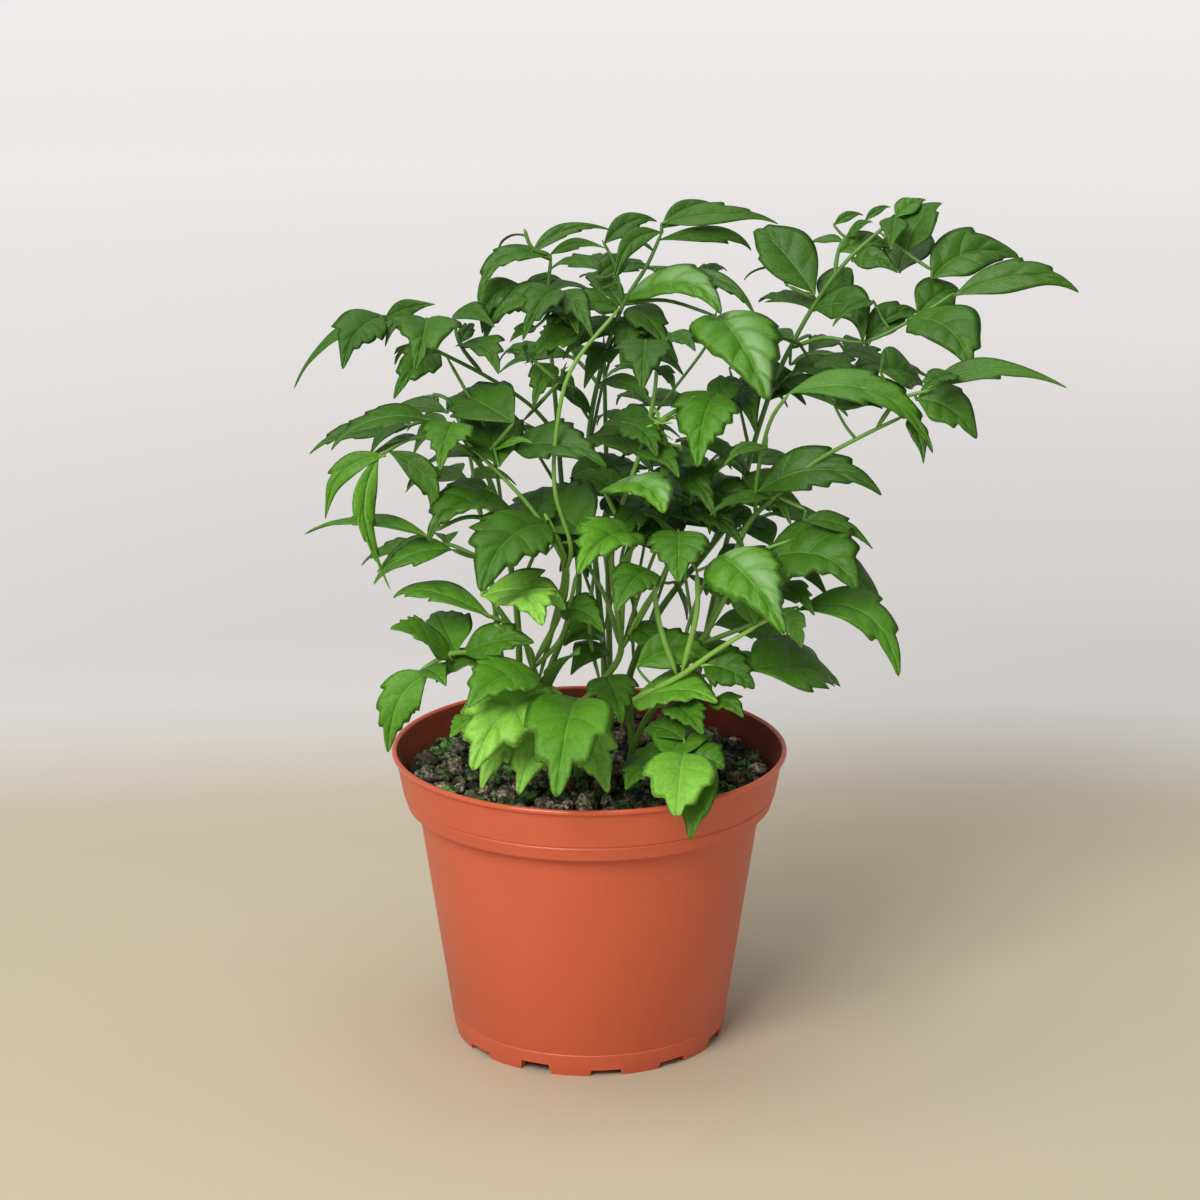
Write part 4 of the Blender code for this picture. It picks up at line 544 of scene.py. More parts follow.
# Stems at the back, which the front ones hide: root, radius, where the top is, how wide the leaflets are
# beside the solid's, which of them are moved and how far (across, up), and the leaves. A back leaf is
# (where on the stem it starts, heading in degrees, rise in degrees, length, leaflet pairs).
BackStem = namedtuple("BackStem", "name root radius top wider nudges leaves")
BACK_STEMS = (
    BackStem(
        "stem_back_left", (-22, 27), 1.4, (-34, 38, 158), 0.75,
        {0: (5, 1), 11: (1, -5), 12: (3, -5), 13: (0, -4)},
        ((0.45, 150, 15, 28, 1), (0.7, 105, 25, 32, 1), (1, 190, 30, 24, 2), (1, 115, 35, 30, 1)),
    ),
    BackStem(
        "stem_back", (6, 33), 1.5, (4, 44, 186), 0.72,
        {},
        ((0.4, 95, 20, 32, 1), (0.65, 60, 30, 32, 2), (0.8, 130, 30, 30, 1), (1, 90, 45, 34, 2)),
    ),
    BackStem(
        "stem_back_right", (27, 28), 1.5, (50, 38, 172), 0.72,
        {0: (-4, -3), 3: (-3, -4), 4: (-2, -4), 5: (0, -4), 6: (-3, -4), 9: (3, -2), 10: (3, -2),
         11: (0, -5), 12: (0, -5)},
        ((0.45, 30, 20, 30, 1), (0.7, 75, 25, 32, 1), (1, 10, 35, 32, 2), (1, 60, 40, 32, 1)),
    ),
)
BACK_LOOK = (0.75, 0.3, 0.8, 0)
BACK_STEM_BEND = 8.0
BACK_STEM_STEPS = 3
BACK_STALK_STEPS = 2
BACK_LEAF_SAG = 9.0
BACK_LEAFLET_LENGTH = 24.0
BACK_LEAFLET_WIDTH = 10.5
# Each pair of leaflets further in is smaller by this share
BACK_PAIR_SHRINK = 0.12
BACK_LEAFLET_SPREAD = 55.0
BACK_LEAFLET_DROOP = 20.0
BACK_RISE_SHARE = 0.3
BACK_LEAFLET_BOW = 3.0
BACK_LEAFLET_STEP = 1.5

# The fine leaflet: its rows, the share of the way out at which each column lies, and its side veins
BLADE_ROWS = 30
RIB_SHARES = (0.0, 0.05, 0.16, 0.34, 0.56, 0.78, 1.0)
VEIN_ADVANCE = 0.19
VEINS = 5.0
VEIN_SWEEP = 1.3
VEIN_STEPS = 12
# Its thickness beside the rib, and how its halves fold up, curl at the edge, quilt between veins and wave
BLADE_THIN = 0.26
FINE_FOLD = 0.26
EDGE_CURL = 0.15
QUILT = 0.085
QUILT_REACH = 1.1
QUILT_ROUND = 0.7
WAVE = 0.07
CALM_WAVE = 0.4
TWIST = 0.35
TWIST_MIDDLE = 0.3
RIB_GROOVE = 0.1
RIB_GROOVE_WIDTH = 0.5
RIB_RIDGE = 0.34
RIB_RIDGE_WIDTH = 0.45
TIP_CURL = 0.05
TIP_CURL_START = 0.65
# How much the wave, the fold, the tip's curl and the quilting differ among leaflets: least and most
WAVE_TURNS = (1.2, 2.4)
FOLD_SPREAD = (0.7, 1.3)
CURL_SPREAD = (0.3, 1.7)
QUILT_SPREAD = (0.4, 1.6)
# Half the width, in mm, from which a leaflet has its full rib
BROAD_HALF = 7.0
# Half width along the blade: way, share of a broad leaflet, share of one with a drawn-out tip
FINE_OUTLINE = (
    (0.0, 0.05, 0.04), (0.04, 0.18, 0.18), (0.1, 0.42, 0.42), (0.2, 0.75, 0.76), (0.32, 0.97, 0.97),
    (0.44, 1.03, 0.96), (0.54, 0.97, 0.82), (0.64, 0.82, 0.6), (0.74, 0.62, 0.39), (0.84, 0.40, 0.23),
    (0.93, 0.21, 0.12), (0.98, 0.11, 0.06), (1.0, 0.0, 0.0))
# How many teeth the left and the right edge have, and how many more or fewer by chance
FINE_TEETH = {LEFT: (3, 1), RIGHT: (1, 3), BOTH: (3, 3), PLAIN: (1, 1)}
TOOTH_CHANCES = (-1, 0, 0, 1)
# Where the first and the last tooth may stand, how far they scatter, and their size: on average, by where
# they stand, and by chance
FIRST_TOOTH = 0.36
LAST_TOOTH = 0.84
TOOTH_SCATTER = 0.4
TOOTH_SIZE = 1.3
TOOTH_FADE = (1.2, 0.8)
TOOTH_SIZES = (0.65, 1.25)
# A tooth's rise and fall along the edge, its bite after it, how far it reaches out and how far forward
TOOTH_RISE = 0.13
TOOTH_FALL = 0.034
TOOTH_BITE = 0.16
TOOTH_BITE_END = 0.16
TOOTH_REACH = 0.09
TOOTH_FORWARD = 0.05
TOOTH_ROUND = (-0.012, 0.0, 0.012)
# Where rows meet the edge besides the even ones, and how close together two may be
NEAR_TOOTH = (-0.014, 0.004, 0.02, TOOTH_FALL + 0.012)
NEAR_ENDS = (0.0, 0.02, 0.985, 1.0)
LEAST_ROW = 0.008
# Leaflets with an outline of their own: how drawn-out the tip is, the left teeth and the right teeth
OWN_SHAPES = {
    ("stem_front", 2): (-0.1, ((0.58, 0.7), (0.78, 1.1)), ((0.6, 0.9), (0.8, 0.9))),
    ("stem_front", 1): (-0.2, ((0.5, 0.8), (0.7, 1.2)), ((0.62, 1.3), (0.8, 0.9))),
    ("stem_front", 4): (-0.3, ((0.6, 0.6),), ((0.62, 0.8), (0.8, 0.8))),
    ("seedling_front", 0): (-0.9, ((0.68, 0.7), (0.86, 0.8)), ((0.6, 0.9), (0.8, 1.1))),
    ("seedling_front", 1): (-0.8, ((0.8, 0.4),), ((0.7, 0.4),)),
    ("seedling_front", 2): (-1.0, ((0.8, 0.3),), ((0.7, 0.3),)),
    ("seedling_front", 3): (-0.6, ((0.7, 0.6),), ((0.6, 0.6),)),
    ("stem_front_right", 4): (
        0.1, ((0.38, 0.6), (0.56, 0.8), (0.74, 0.6)), ((0.42, 0.8), (0.62, 0.9), (0.8, 0.5))),
    ("stem_front_right", 1): (
        0.4, ((0.42, 0.35), (0.55, 0.5), (0.68, 0.6), (0.8, 0.4)), ((0.5, 0.4), (0.66, 0.6))),
    ("stem_top", 5): (0.2, ((0.5, 0.4), (0.7, 0.4)), ((0.55, 0.4), (0.75, 0.3))),
    ("stem_top", 7): (-0.2, ((0.45, 0.4), (0.6, 0.5), (0.75, 0.4)), ((0.5, 0.4), (0.66, 0.4))),
    ("stem_centre", 1): (0.1, ((0.6, 0.3),), ((0.55, 0.3), (0.75, 0.3))),
    ("stem_right_top", 0): (0.35, ((0.5, 0.5),), ((0.84, 0.7),)),
    ("stem_right_top", 6): (0.0, ((0.66, 0.9),), ((0.74, 0.7),)),
    ("stem_right_top", 7): (0.1, ((0.58, 0.8),), ((0.8, 0.3),)),
    ("stem_right_top", 10): (0.2, ((0.82, 0.6),), ((0.5, 0.3),)),
    ("stem_right_top", 13): (-0.2, (), ()),
    ("stem_right", 5): (0.3, ((0.5, 0.4),), ((0.7, 1.2),)),
    ("stem_left_low", 0): (
        0.0, ((0.3, 0.6), (0.45, 0.8), (0.6, 0.8), (0.75, 0.6)), ((0.4, 0.7), (0.55, 0.8), (0.7, 0.7))),
}
# Leaflets whose veins are sunk deepest, and how deep that is, where the others lie between 0 and 1; only
# these leaflets get the leaf's painted sheen
DEEP_VEINED = {("stem_top", 5), ("stem_top", 7), ("stem_centre", 1), ("stem_front_right", 1)}
DEEP_VEINS = 1.2
TONE_SPREAD = 0.08

# Stalks and stems
STEM_SIDES = 12
STALK_SIDES = 8
LEAF_STALK_SIDES = 6
PATH_STEPS = 5
LEAST_LEAF_STALK = 0.3
LEAF_STALK_RADIUS = 0.5
LEAF_STALK_TAPER = 0.65
LEAF_STALK_SAG = 0.08
LEAF_STALK_LIGHTER = 0.12
LEAF_STALK_STEPS = 3
# How far along the midrib a leaf stalk runs on
LEAF_STALK_END = 0.06
FINE_STEM_TAPER = 0.45
# The swelling where a stalk leaves its stem, and the narrow end of every stalk
JOINT_SWELLS = (0.25, 0.9, 1.12, 1.05)
TUBE_END = 0.4
SPRIG_STEP = 0.55
SPRIG_SLIM = 0.8
# A young shoot's folded leaflets
SHOOT_LENGTH = 5.0
SHOOT_LENGTHS = (0.6, 1.3)
SHOOT_WIDTH = 1.7
SHOOT_RISE = 55.0
SHOOT_START = 0.5
SHOOT_BOW = 4.0
SHOOT_ROLL = 90.0


def link_object(name, data):
    """A new object in the scene."""
    thing = bpy.data.objects.new(name, data)
    bpy.context.scene.collection.objects.link(thing)
    return thing


def new_mesh(name, vertices, faces):
    """A mesh from points in millimetres."""
    mesh = bpy.data.meshes.new(name)
    mesh.from_pydata([tuple(vertex) for vertex in vertices], [], faces)
    return mesh


def to_world(mesh):
    """The mesh in metres, where the pot's axis is in the frame, and smooth."""
    mesh.transform(TO_WORLD)
    mesh.polygons.foreach_set("use_smooth", [True] * len(mesh.polygons))
    return mesh


def add_piece(name, mesh, materials, node):
    """An object for a mesh, which rides on the body and stands for a node of the frame."""
    piece = link_object(name, mesh)
    for material in materials:
        mesh.materials.append(material)
    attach(piece, BODY)
    if node:
        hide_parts(node)


def part_way(start, end, share):
    """The number that lies a share of the way from one to another."""
    return start + (end - start) * share


def between(rng, least, most):
    """A random number between two others."""
    return part_way(least, most, rng.random())


def in_view(shift):
    """A shift across and up as seen from the front."""
    return Vector((shift[0], 0.0, shift[1]))


def seen(across, up, behind, lean=0.0):
    """The point that shows at (across, up) from the front and lies so far behind the axis plane."""
    shown = Vector((across, 0.0, up))
    behind += lean * max(0.0, up - POT_HEIGHT) / LEAN_SPAN
    return EYE + (shown - EYE) * ((behind - EYE.y) / -EYE.y)


def soil_height(x, y):
    """Height of the potting mix's uneven surface, in mm."""
    radius = math.hypot(x, y)
    mound = SOIL_MOUND * (1.0 - (radius / LIP_RADIUS) ** 2)
    lumps = noise.noise(Vector((x, y, 0.0)) / SOIL_GRAIN) * SOIL_ROUGHNESS
    return SOIL_EDGE_HEIGHT + mound + lumps


def smooth_path(points, steps):
    """Points of a smooth curve through the given ones, steps to each span."""
    ends = [points[0] * 2.0 - points[1]] + list(points) + [points[-1] * 2.0 - points[-2]]
    path = []
    for index in range(1, len(ends) - 2):
        before, start, end, after = ends[index - 1:index + 3]
        for step in range(steps):
            t = step / steps
            path.append(0.5 * (
                2.0 * start + (end - before) * t
                + (2.0 * before - 5.0 * start + 4.0 * end - after) * t * t
                + (3.0 * (start - end) + after - before) * t ** 3))
    path.append(points[-1].copy())
    return path


def circle(radius, sides):
    """Places round the z axis, as x and y."""
    turns = [math.tau * step / sides for step in range(sides)]
    return [(math.cos(turn) * radius, math.sin(turn) * radius) for turn in turns]


def loft(rings):
    """Points and faces of a closed solid through rings of points; a ring of one point is a tip."""
    points, numbers = [], []
    for ring in rings:
        numbers.append(range(len(points), len(points) + len(ring)))
        points += ring
    faces = []
    for low, high in zip(numbers, numbers[1:]):
        sides = max(len(low), len(high))
        for step in range(sides):
            after = (step + 1) % sides
            if len(low) == 1:
                faces.append((low[0], high[after], high[step]))
            elif len(high) == 1:
                faces.append((low[step], low[after], high[0]))
            else:
                faces.append((low[step], low[after], high[after], high[step]))
    if len(numbers[0]) > 1:
        faces.append(tuple(reversed(numbers[0])))
    if len(numbers[-1]) > 1:
        faces.append(tuple(numbers[-1]))
    return points, faces


def tube(path, radii, sides):
    """Points and faces of a closed round tube, which does not spin about its path."""
    rings, places = [], circle(1.0, sides)
    across = None
    for index, point in enumerate(path):
        ahead = path[min(index + 1, len(path) - 1)] - path[max(index - 1, 0)]
        ahead.normalize()
        if across is None:
            across = ahead.orthogonal().normalized()
        across = (across - ahead * across.dot(ahead)).normalized()
        up = ahead.cross(across)
        rings.append([point + (across * x + up * y) * radii[index] for x, y in places])
    return loft(rings)


def tapered(start, taper, count):
    """Radii that taper evenly along a path."""
    return [start * part_way(1.0, taper, index / (count - 1)) for index in range(count)]


# A stalk's points, and its radius beside others of its stem
Path = namedtuple("Path", "points width")
# A leaflet in place: where its own stalk starts, its base and its tip, then the rest as in the tables
Blade = namedtuple("Blade", "root base tip width bow roll teeth tone wider nudge")


def nearest_on_paths(paths, point):
    """The point of a set of paths that lies nearest to a point."""
    best = None
    for path in paths:
        for start, end in zip(path.points, path.points[1:]):
            run = end - start
            way = max(0.0, min(1.0, (point - start).dot(run) / max(run.length_squared, TINY)))
            place = start + run * way
            if best is None or (place - point).length < (best - point).length:
                best = place
    return best


def stem_foot(root):
    """The upright start of a stem: its foot in the potting mix and where it begins to bend."""
    start = Vector((*root, HOLE_FLOOR + SOIL_GAP))
    bend = Vector((*root, soil_height(*root) + STEM_RISE))
    return [start, bend]


def add_stalk(paths, carriers, points, lean, width=1.0):
    """One more stalk, from the nearest place of the paths that may carry it."""
    points = [seen(*point, lean) for point in points]
    points[0] = nearest_on_paths(carriers, points[0])
    paths.append(Path(points, width))
    return points


def stem_paths(stem):
    """The main path and the stalks of a stem, in the pot's own frame."""
    paths = [Path(stem_foot(stem.root) + [seen(*point, stem.lean) for point in stem.path], 1.0)]
    for stalk in stem.stalks:
        add_stalk(paths, paths, stalk, stem.lean)
    return paths


def slid(blade, shift):
    """The blade moved along its line of sight, with its stalk's root left where it is."""
    base = blade.base
    if (base - blade.root).length > SHORTEST_STALK:
        base = base + (base - EYE).normalized() * shift
    tip = blade.tip + (blade.tip - EYE).normalized() * shift
    return blade._replace(base=base, tip=tip)


def placed_blades(leaflets, paths, lean):
    """The listed leaflets, each placed on the nearest stalk."""
    blades = []
    for leaflet in (Leaflet(*row) for row in leaflets):
        shown = math.dist(leaflet.base, leaflet.tip)
        reach = math.sqrt(max(0.0, (leaflet.width * SLENDERNESS) ** 2 - shown ** 2))
        from_base = leaflet.behind[1] - leaflet.behind[0]
        from_base = math.copysign(max(abs(from_base), reach), from_base)
        base = seen(*leaflet.base, leaflet.behind[0], lean)
        tip = seen(*leaflet.tip, leaflet.behind[0] + from_base, lean)
        root = nearest_on_paths(paths, base)
        if (base - root).length < SHORTEST_STALK:
            base = root
        blades.append(Blade(root, base, tip, leaflet.width, in_view(leaflet.bow), *leaflet[5:]))
    return blades


def heading(degrees, rise):
    """A direction from its heading in the ground plane and its rise."""
    turn, lift = math.radians(degrees), math.radians(rise)
    return Vector((math.cos(turn) * math.cos(lift), math.sin(turn) * math.cos(lift), math.sin(lift)))


def back_paths_and_blades(stem):
    """The path, the stalks and the leaflets of a stem at the back, by rule."""
    foot, start = stem_foot(stem.root)
    top = Vector(stem.top)
    bend = start.lerp(top, 0.5) + Vector((0.0, 0.0, BACK_STEM_BEND))
    main_path = [foot] + smooth_path([start, bend, top], BACK_STEM_STEPS)
    paths, blades = [Path(main_path, 1.0)], []
    for share, turn, rise, length, pairs in stem.leaves:
        origin = main_path[1 + round(share * (len(main_path) - 2))]
        reach = heading(turn, rise) * length
        sag = Vector((0.0, 0.0, -BACK_LEAF_SAG))
        stalk = smooth_path([origin, origin + reach * 0.5, origin + reach + sag], BACK_STALK_STEPS)
        paths.append(Path(stalk, 1.0))
        step = (stalk[-1] - stalk[0]).normalized() * BACK_LEAFLET_STEP
        blades.append(ruled_blade(stalk[-1], turn, rise, 0, BOTH))
        for pair in range(1, pairs + 1):
            place = stalk[-1 - round(pair * (len(stalk) - 1) / (pairs + 1))]
            blades.append(ruled_blade(place, turn - BACK_LEAFLET_SPREAD, rise, pair, PLAIN))
            blades.append(ruled_blade(place + step, turn + BACK_LEAFLET_SPREAD, rise, pair, PLAIN))
    for number, blade in enumerate(blades):
        blades[number] = blade._replace(wider=stem.wider, nudge=stem.nudges.get(number, blade.nudge))
    return paths, blades


def ruled_blade(place, turn, rise, pair, teeth, tone=BACK_TONE):
    """A leaflet of a ruled leaf, smaller the further in its pair is."""
    size = 1.0 - BACK_PAIR_SHRINK * pair
    way = heading(turn, rise * BACK_RISE_SHARE - BACK_LEAFLET_DROOP)
    tip = place + way * (BACK_LEAFLET_LENGTH * size)
    bow = Vector((0.0, 0.0, BACK_LEAFLET_BOW))
    return Blade(place, place, tip, BACK_LEAFLET_WIDTH * size, bow, 0.0, teeth, tone, 1.0, (0.0, 0.0))


def fitted(blades, node):
    """The solid's leaflets at their fine size: found on the node, then moved and widened."""
    corners = frame["nodes"][node].data.vertices
    tree = kdtree.KDTree(len(corners))
    for index, corner in enumerate(corners):
        tree.insert((corner.co - AXIS) / MM, index)
    tree.balance()
    leaves = []
    for blade in blades:
        trials = [slid(blade, SHIFT_STEP * step) for step in range(-SHIFT_TRIES, SHIFT_TRIES + 1)]
        blade = min(trials, key=lambda trial: tree.find(trial.tip)[2])
        nudge = in_view(blade.nudge)
        width = blade.width * blade.wider
        leaves.append(blade._replace(base=blade.base + nudge, tip=blade.tip + nudge, width=width))
    return leaves


def sprig_blades(sprig, stalk):
    """The leaflets at the end of a sprig: one at its tip and pairs behind it."""
    blades = [ruled_blade(stalk[-1], sprig.turn, sprig.rise, 0, BOTH, sprig.tone)]
    for pair in range(1, sprig.pairs + 1):
        place = stalk[-1].lerp(stalk[-2], SPRIG_STEP * pair)
        for turn in (-BACK_LEAFLET_SPREAD, BACK_LEAFLET_SPREAD):
            blades.append(ruled_blade(place, sprig.turn + turn, sprig.rise, pair, PLAIN, sprig.tone))
    return blades


def shoot_blades(shoot, place):
    """The folded narrow leaflets of a young shoot."""
    rng = random.Random(round(place.x * 10.0))
    blades = []
    for _number in range(shoot.count):
        turn = rng.random() * 360.0
        way = heading(turn, between(rng, -SHOOT_RISE, SHOOT_RISE))
        start = place + way * SHOOT_START
        tip = start + way * (SHOOT_LENGTH * between(rng, *SHOOT_LENGTHS))
        bow = Vector((0.0, 0.0, 1.0)).cross(way) * (rng.random() - 0.5) * SHOOT_BOW
        roll = rng.random() * SHOOT_ROLL
        blades.append(Blade(place, start, tip, SHOOT_WIDTH, bow, roll, PLAIN, shoot.tone, 1.0, (0.0, 0.0)))
    return blades


def growth(stem, paths):
    """The leaflets that a stem carries beyond its solid; their stalks join its paths."""
    blades = []
    for sprig in (Sprig(*row) for row in stem.sprigs):
        stalk = add_stalk(paths, paths[:1], sprig.path, stem.lean, SPRIG_SLIM)
        if sprig.pairs is not None:
            blades += sprig_blades(sprig, stalk)
    blades += placed_blades(stem.more, paths, stem.lean)
    for shoot in (Shoot(*row) for row in stem.shoots):
        place = seen(*shoot.place, stem.lean)
        paths.append(Path([nearest_on_paths(paths, place), place], 1.0))
        blades += shoot_blades(shoot, place)
    return blades


def rib_point(blade, way):
    """A point of the midrib, which bows off the straight line from base to tip."""
    return blade.base.lerp(blade.tip, way) + blade.bow * (4.0 * way * (1.0 - way))


def blade_axes(blade, way, twist):
    """Side and face directions of the blade at a place along its midrib."""
    along = ((blade.tip - blade.base) + blade.bow * (4.0 - 8.0 * way)).normalized()
    face = LEAF_FACE - along * LEAF_FACE.dot(along)
    if face.length < LEAST_FACE:
        face = FRONT - along * FRONT.dot(along)
    face.normalize()
    side = along.cross(face)
    turn = math.radians(blade.roll) + twist
    return side * math.cos(turn) + face * math.sin(turn), face * math.cos(turn) - side * math.sin(turn)


def outline_share(way, tail):
    """The smooth outline's half width at a way along the blade, as a share of the widest."""
    ways = [place for place, _broad, _drawn in FINE_OUTLINE]
    shares = [broad + (drawn - broad) * tail for _way, broad, drawn in FINE_OUTLINE]
    index = next((number for number, end in enumerate(ways[1:]) if way <= end), None)
    if index is None:
        return 0.0
    start, end = ways[index], ways[index + 1]
    low, high = shares[index], shares[index + 1]
    before, after = max(0, index - 1), min(len(shares) - 1, index + 2)
    span = end - start
    t = (way - start) / span
    slope_in = (high - shares[before]) / (end - ways[before]) * span
    slope_out = (shares[after] - low) / (ways[after] - start) * span
    return (
        low * (1.0 + 2.0 * t) * (1.0 - t) ** 2 + slope_in * t * (1.0 - t) ** 2
        + high * t * t * (3.0 - 2.0 * t) - slope_out * t * t * (1.0 - t))


def tooth_push(gap, size):
    """How far a tooth pushes the edge out, as a share of the half width, at a gap past its tip."""
    if -TOOTH_RISE < gap <= 0.0:
        return size * TOOTH_REACH * (1.0 + gap / TOOTH_RISE) ** 2
    if 0.0 < gap < TOOTH_FALL:
        return size * (TOOTH_REACH - (TOOTH_REACH + TOOTH_BITE) * gap / TOOTH_FALL)
    if TOOTH_FALL <= gap < TOOTH_BITE_END:
        fade = (gap - TOOTH_FALL) / (TOOTH_BITE_END - TOOTH_FALL)
        return -size * TOOTH_BITE * (1.0 - fade) ** 1.5
    return 0.0


def tooth_lean(gap, size):
    """How far a tooth leans towards the tip, as a share of the length, at a gap past its tip."""
    if -TOOTH_RISE < gap <= 0.0:
        return size * TOOTH_FORWARD * (1.0 + gap / TOOTH_RISE) ** 3
    if 0.0 < gap < TOOTH_FALL:
        return size * TOOTH_FORWARD * (1.0 - gap / TOOTH_FALL)
    return 0.0


def edge_place(way, teeth, tail):
    """Where the edge is at a way along the blade: its half width and how far forward it lies."""
    share, forward = outline_share(way, tail), 0.0
    for place, size in teeth:
        for nudge in TOOTH_ROUND:
            share += tooth_push(way - place + nudge, size) / len(TOOTH_ROUND)
            forward += tooth_lean(way - place + nudge, size) / len(TOOTH_ROUND)
    return max(0.0, share), forward


def side_teeth(most, rng):
    """The teeth of one edge: each one's place along the blade and its size, less towards the tip."""
    count = max(0, most + rng.choice(TOOTH_CHANCES))
    teeth = []
    for number in range(count):
        share = (number + 0.5 + (rng.random() - 0.5) * TOOTH_SCATTER) / count
        size = TOOTH_SIZE * part_way(*TOOTH_FADE, share) * between(rng, *TOOTH_SIZES) / math.sqrt(count)
        teeth.append((part_way(FIRST_TOOTH, LAST_TOOTH, share), size))
    return teeth


def blade_ways(teeth):
    """Ways along the blade where its rows of points meet the edge, closer together at the teeth."""
    ways = {place + gap for side in teeth for place, _size in side for gap in NEAR_TOOTH}
    ways.update(NEAR_ENDS)
    for row in range(1, BLADE_ROWS):
        start = row / BLADE_ROWS
        ways.add(start + VEIN_ADVANCE * math.sin(math.pi * start))
    kept = [0.0]
    for way in sorted(ways)[1:]:
        if way - kept[-1] > LEAST_ROW or way == 1.0:
            kept.append(way)
    return kept


def rib_start(way):
    """Where on the midrib the side vein starts that meets the edge at this way."""
    start = way
    if 0.0 < way < 1.0:
        for _step in range(VEIN_STEPS):
            start = way - VEIN_ADVANCE * math.sin(math.pi * start)
    return max(0.0, start)


def ridge(offset, width):
    """A share that falls from 1 at the midrib to 0 at this width."""
    return max(0.0, 1.0 - abs(offset) / width)


def fine_blade(blade, seed, shape, depth, fewer):
    """Points, faces and per-point facts of one leaflet: a closed thin sheet with a rib under it."""
    half = blade.width / 2.0
    length = (blade.tip - blade.base).length
    rng = random.Random(seed)
    tail, *edges = shape
    if not edges:
        edges = [side_teeth(most - fewer, rng) for most in FINE_TEETH[blade.teeth]]
    twist = (rng.random() - 0.5) * TWIST
    wave_phase = rng.random() * math.tau
    wave_turns = between(rng, *WAVE_TURNS)
    fold = FINE_FOLD * between(rng, *FOLD_SPREAD)
    curl = TIP_CURL * between(rng, *CURL_SPREAD) * length
    quilt = QUILT * part_way(*QUILT_SPREAD, depth)
    wave = WAVE * (CALM_WAVE if depth >= DEEP_VEINS else 1.0)
    rib_share = min(1.0, half / BROAD_HALF)
    columns = [-share for share in reversed(RIB_SHARES)] + list(RIB_SHARES[1:])
    rows = blade_ways(edges)
    top, under, veins, edge_facts = [], [], [], []
    for edge in rows:
        row = rib_start(edge)
        for column in columns:
            out = abs(column)
            edge_share, forward = edge_place(edge, edges[0] if column < 0.0 else edges[1], tail)
            way = min(1.0, row + (edge - row) * out ** VEIN_SWEEP + forward * out ** 4)
            offset = math.copysign(edge_share * half * out, column)
            side, face = blade_axes(blade, way, twist * (way - TWIST_MIDDLE))
            lift = fold * abs(offset) - EDGE_CURL * offset * offset / half
            between_veins = abs(math.sin(math.pi * row * VEINS))
            across_half = math.sin(math.pi * min(1.0, out * QUILT_REACH))
            bulge = (between_veins * across_half) ** QUILT_ROUND
            lift += quilt * half * bulge * math.sqrt(math.sin(math.pi * row))
            ripple = math.sin(wave_turns * math.tau * way + wave_phase)
            lift += wave * half * out * out * ripple * edge_share
            lift -= RIB_GROOVE * ridge(offset, RIB_GROOVE_WIDTH) * (1.0 - way)
            lift -= curl * max(0.0, (way - TIP_CURL_START) / (1.0 - TIP_CURL_START)) ** 2
            point = rib_point(blade, way) + side * offset + face * lift
            thick = BLADE_THIN * (1.0 - out ** 6)
            thick += RIB_RIDGE * rib_share * ridge(offset, RIB_RIDGE_WIDTH) * (1.0 - way)
            top.append(point)
            under.append(point - face * thick)
            veins.append((row * VEINS, offset, length / VEINS))
            edge_facts.append(-out)
    return closed_sheet(top, under, veins, edge_facts, len(columns))


def closed_sheet(top, under, veins, edge_facts, count):
    """A sheet's upper and under points, joined along its edge: points, faces, veins and undersides."""
    vertices, lower = list(top), []
    veins, sides = list(veins), list(edge_facts)
    last = len(top) // count - 1
    for index, point in enumerate(under):
        row, column = divmod(index, count)
        if column in (0, count - 1) or row in (0, last):
            lower.append(index)
            continue
        lower.append(len(vertices))
        vertices.append(point)
        veins.append(veins[index])
        sides.append(1.0)
    faces = []
    for row in range(last):
        for column in range(count - 1):
            a = row * count + column
            b, c, d = a + 1, a + 1 + count, a + count
            faces.append((a, b, c, d))
            faces.append((lower[a], lower[d], lower[c], lower[b]))
    return vertices, faces, veins, sides


class Builder:
    """Gathers many solids of one piece, with the facts its material reads."""

    def __init__(self):
        self.vertices, self.faces, self.kinds = [], [], []
        self.veins, self.tints = [], []

    def add(self, vertices, faces, kind, veins, tints):
        """One more solid, with its material's index."""
        first = len(self.vertices)
        self.vertices += vertices
        self.faces += [tuple(first + corner for corner in face) for face in faces]
        self.kinds += [kind] * len(faces)
        self.veins += veins
        self.tints += tints

    def mesh(self, name):
        """The whole mesh, with its facts as point attributes."""
        mesh = to_world(new_mesh(name, self.vertices, self.faces))
        mesh.polygons.foreach_set("material_index", self.kinds)
        for title, values in (("veins", self.veins), ("tints", self.tints)):
            attribute = mesh.attributes.new(title, "FLOAT_VECTOR", "POINT")
            attribute.data.foreach_set("vector", [number for value in values for number in value])
        return mesh


def add_tube(builder, line, radii, sides, tone):
    """One round stalk."""
    vertices, faces = tube(line, radii, sides)
    builder.add(vertices, faces, 1, [(0.5, 0.0, 0.0)] * len(vertices), [(tone, 0.5, 0.0)] * len(vertices))


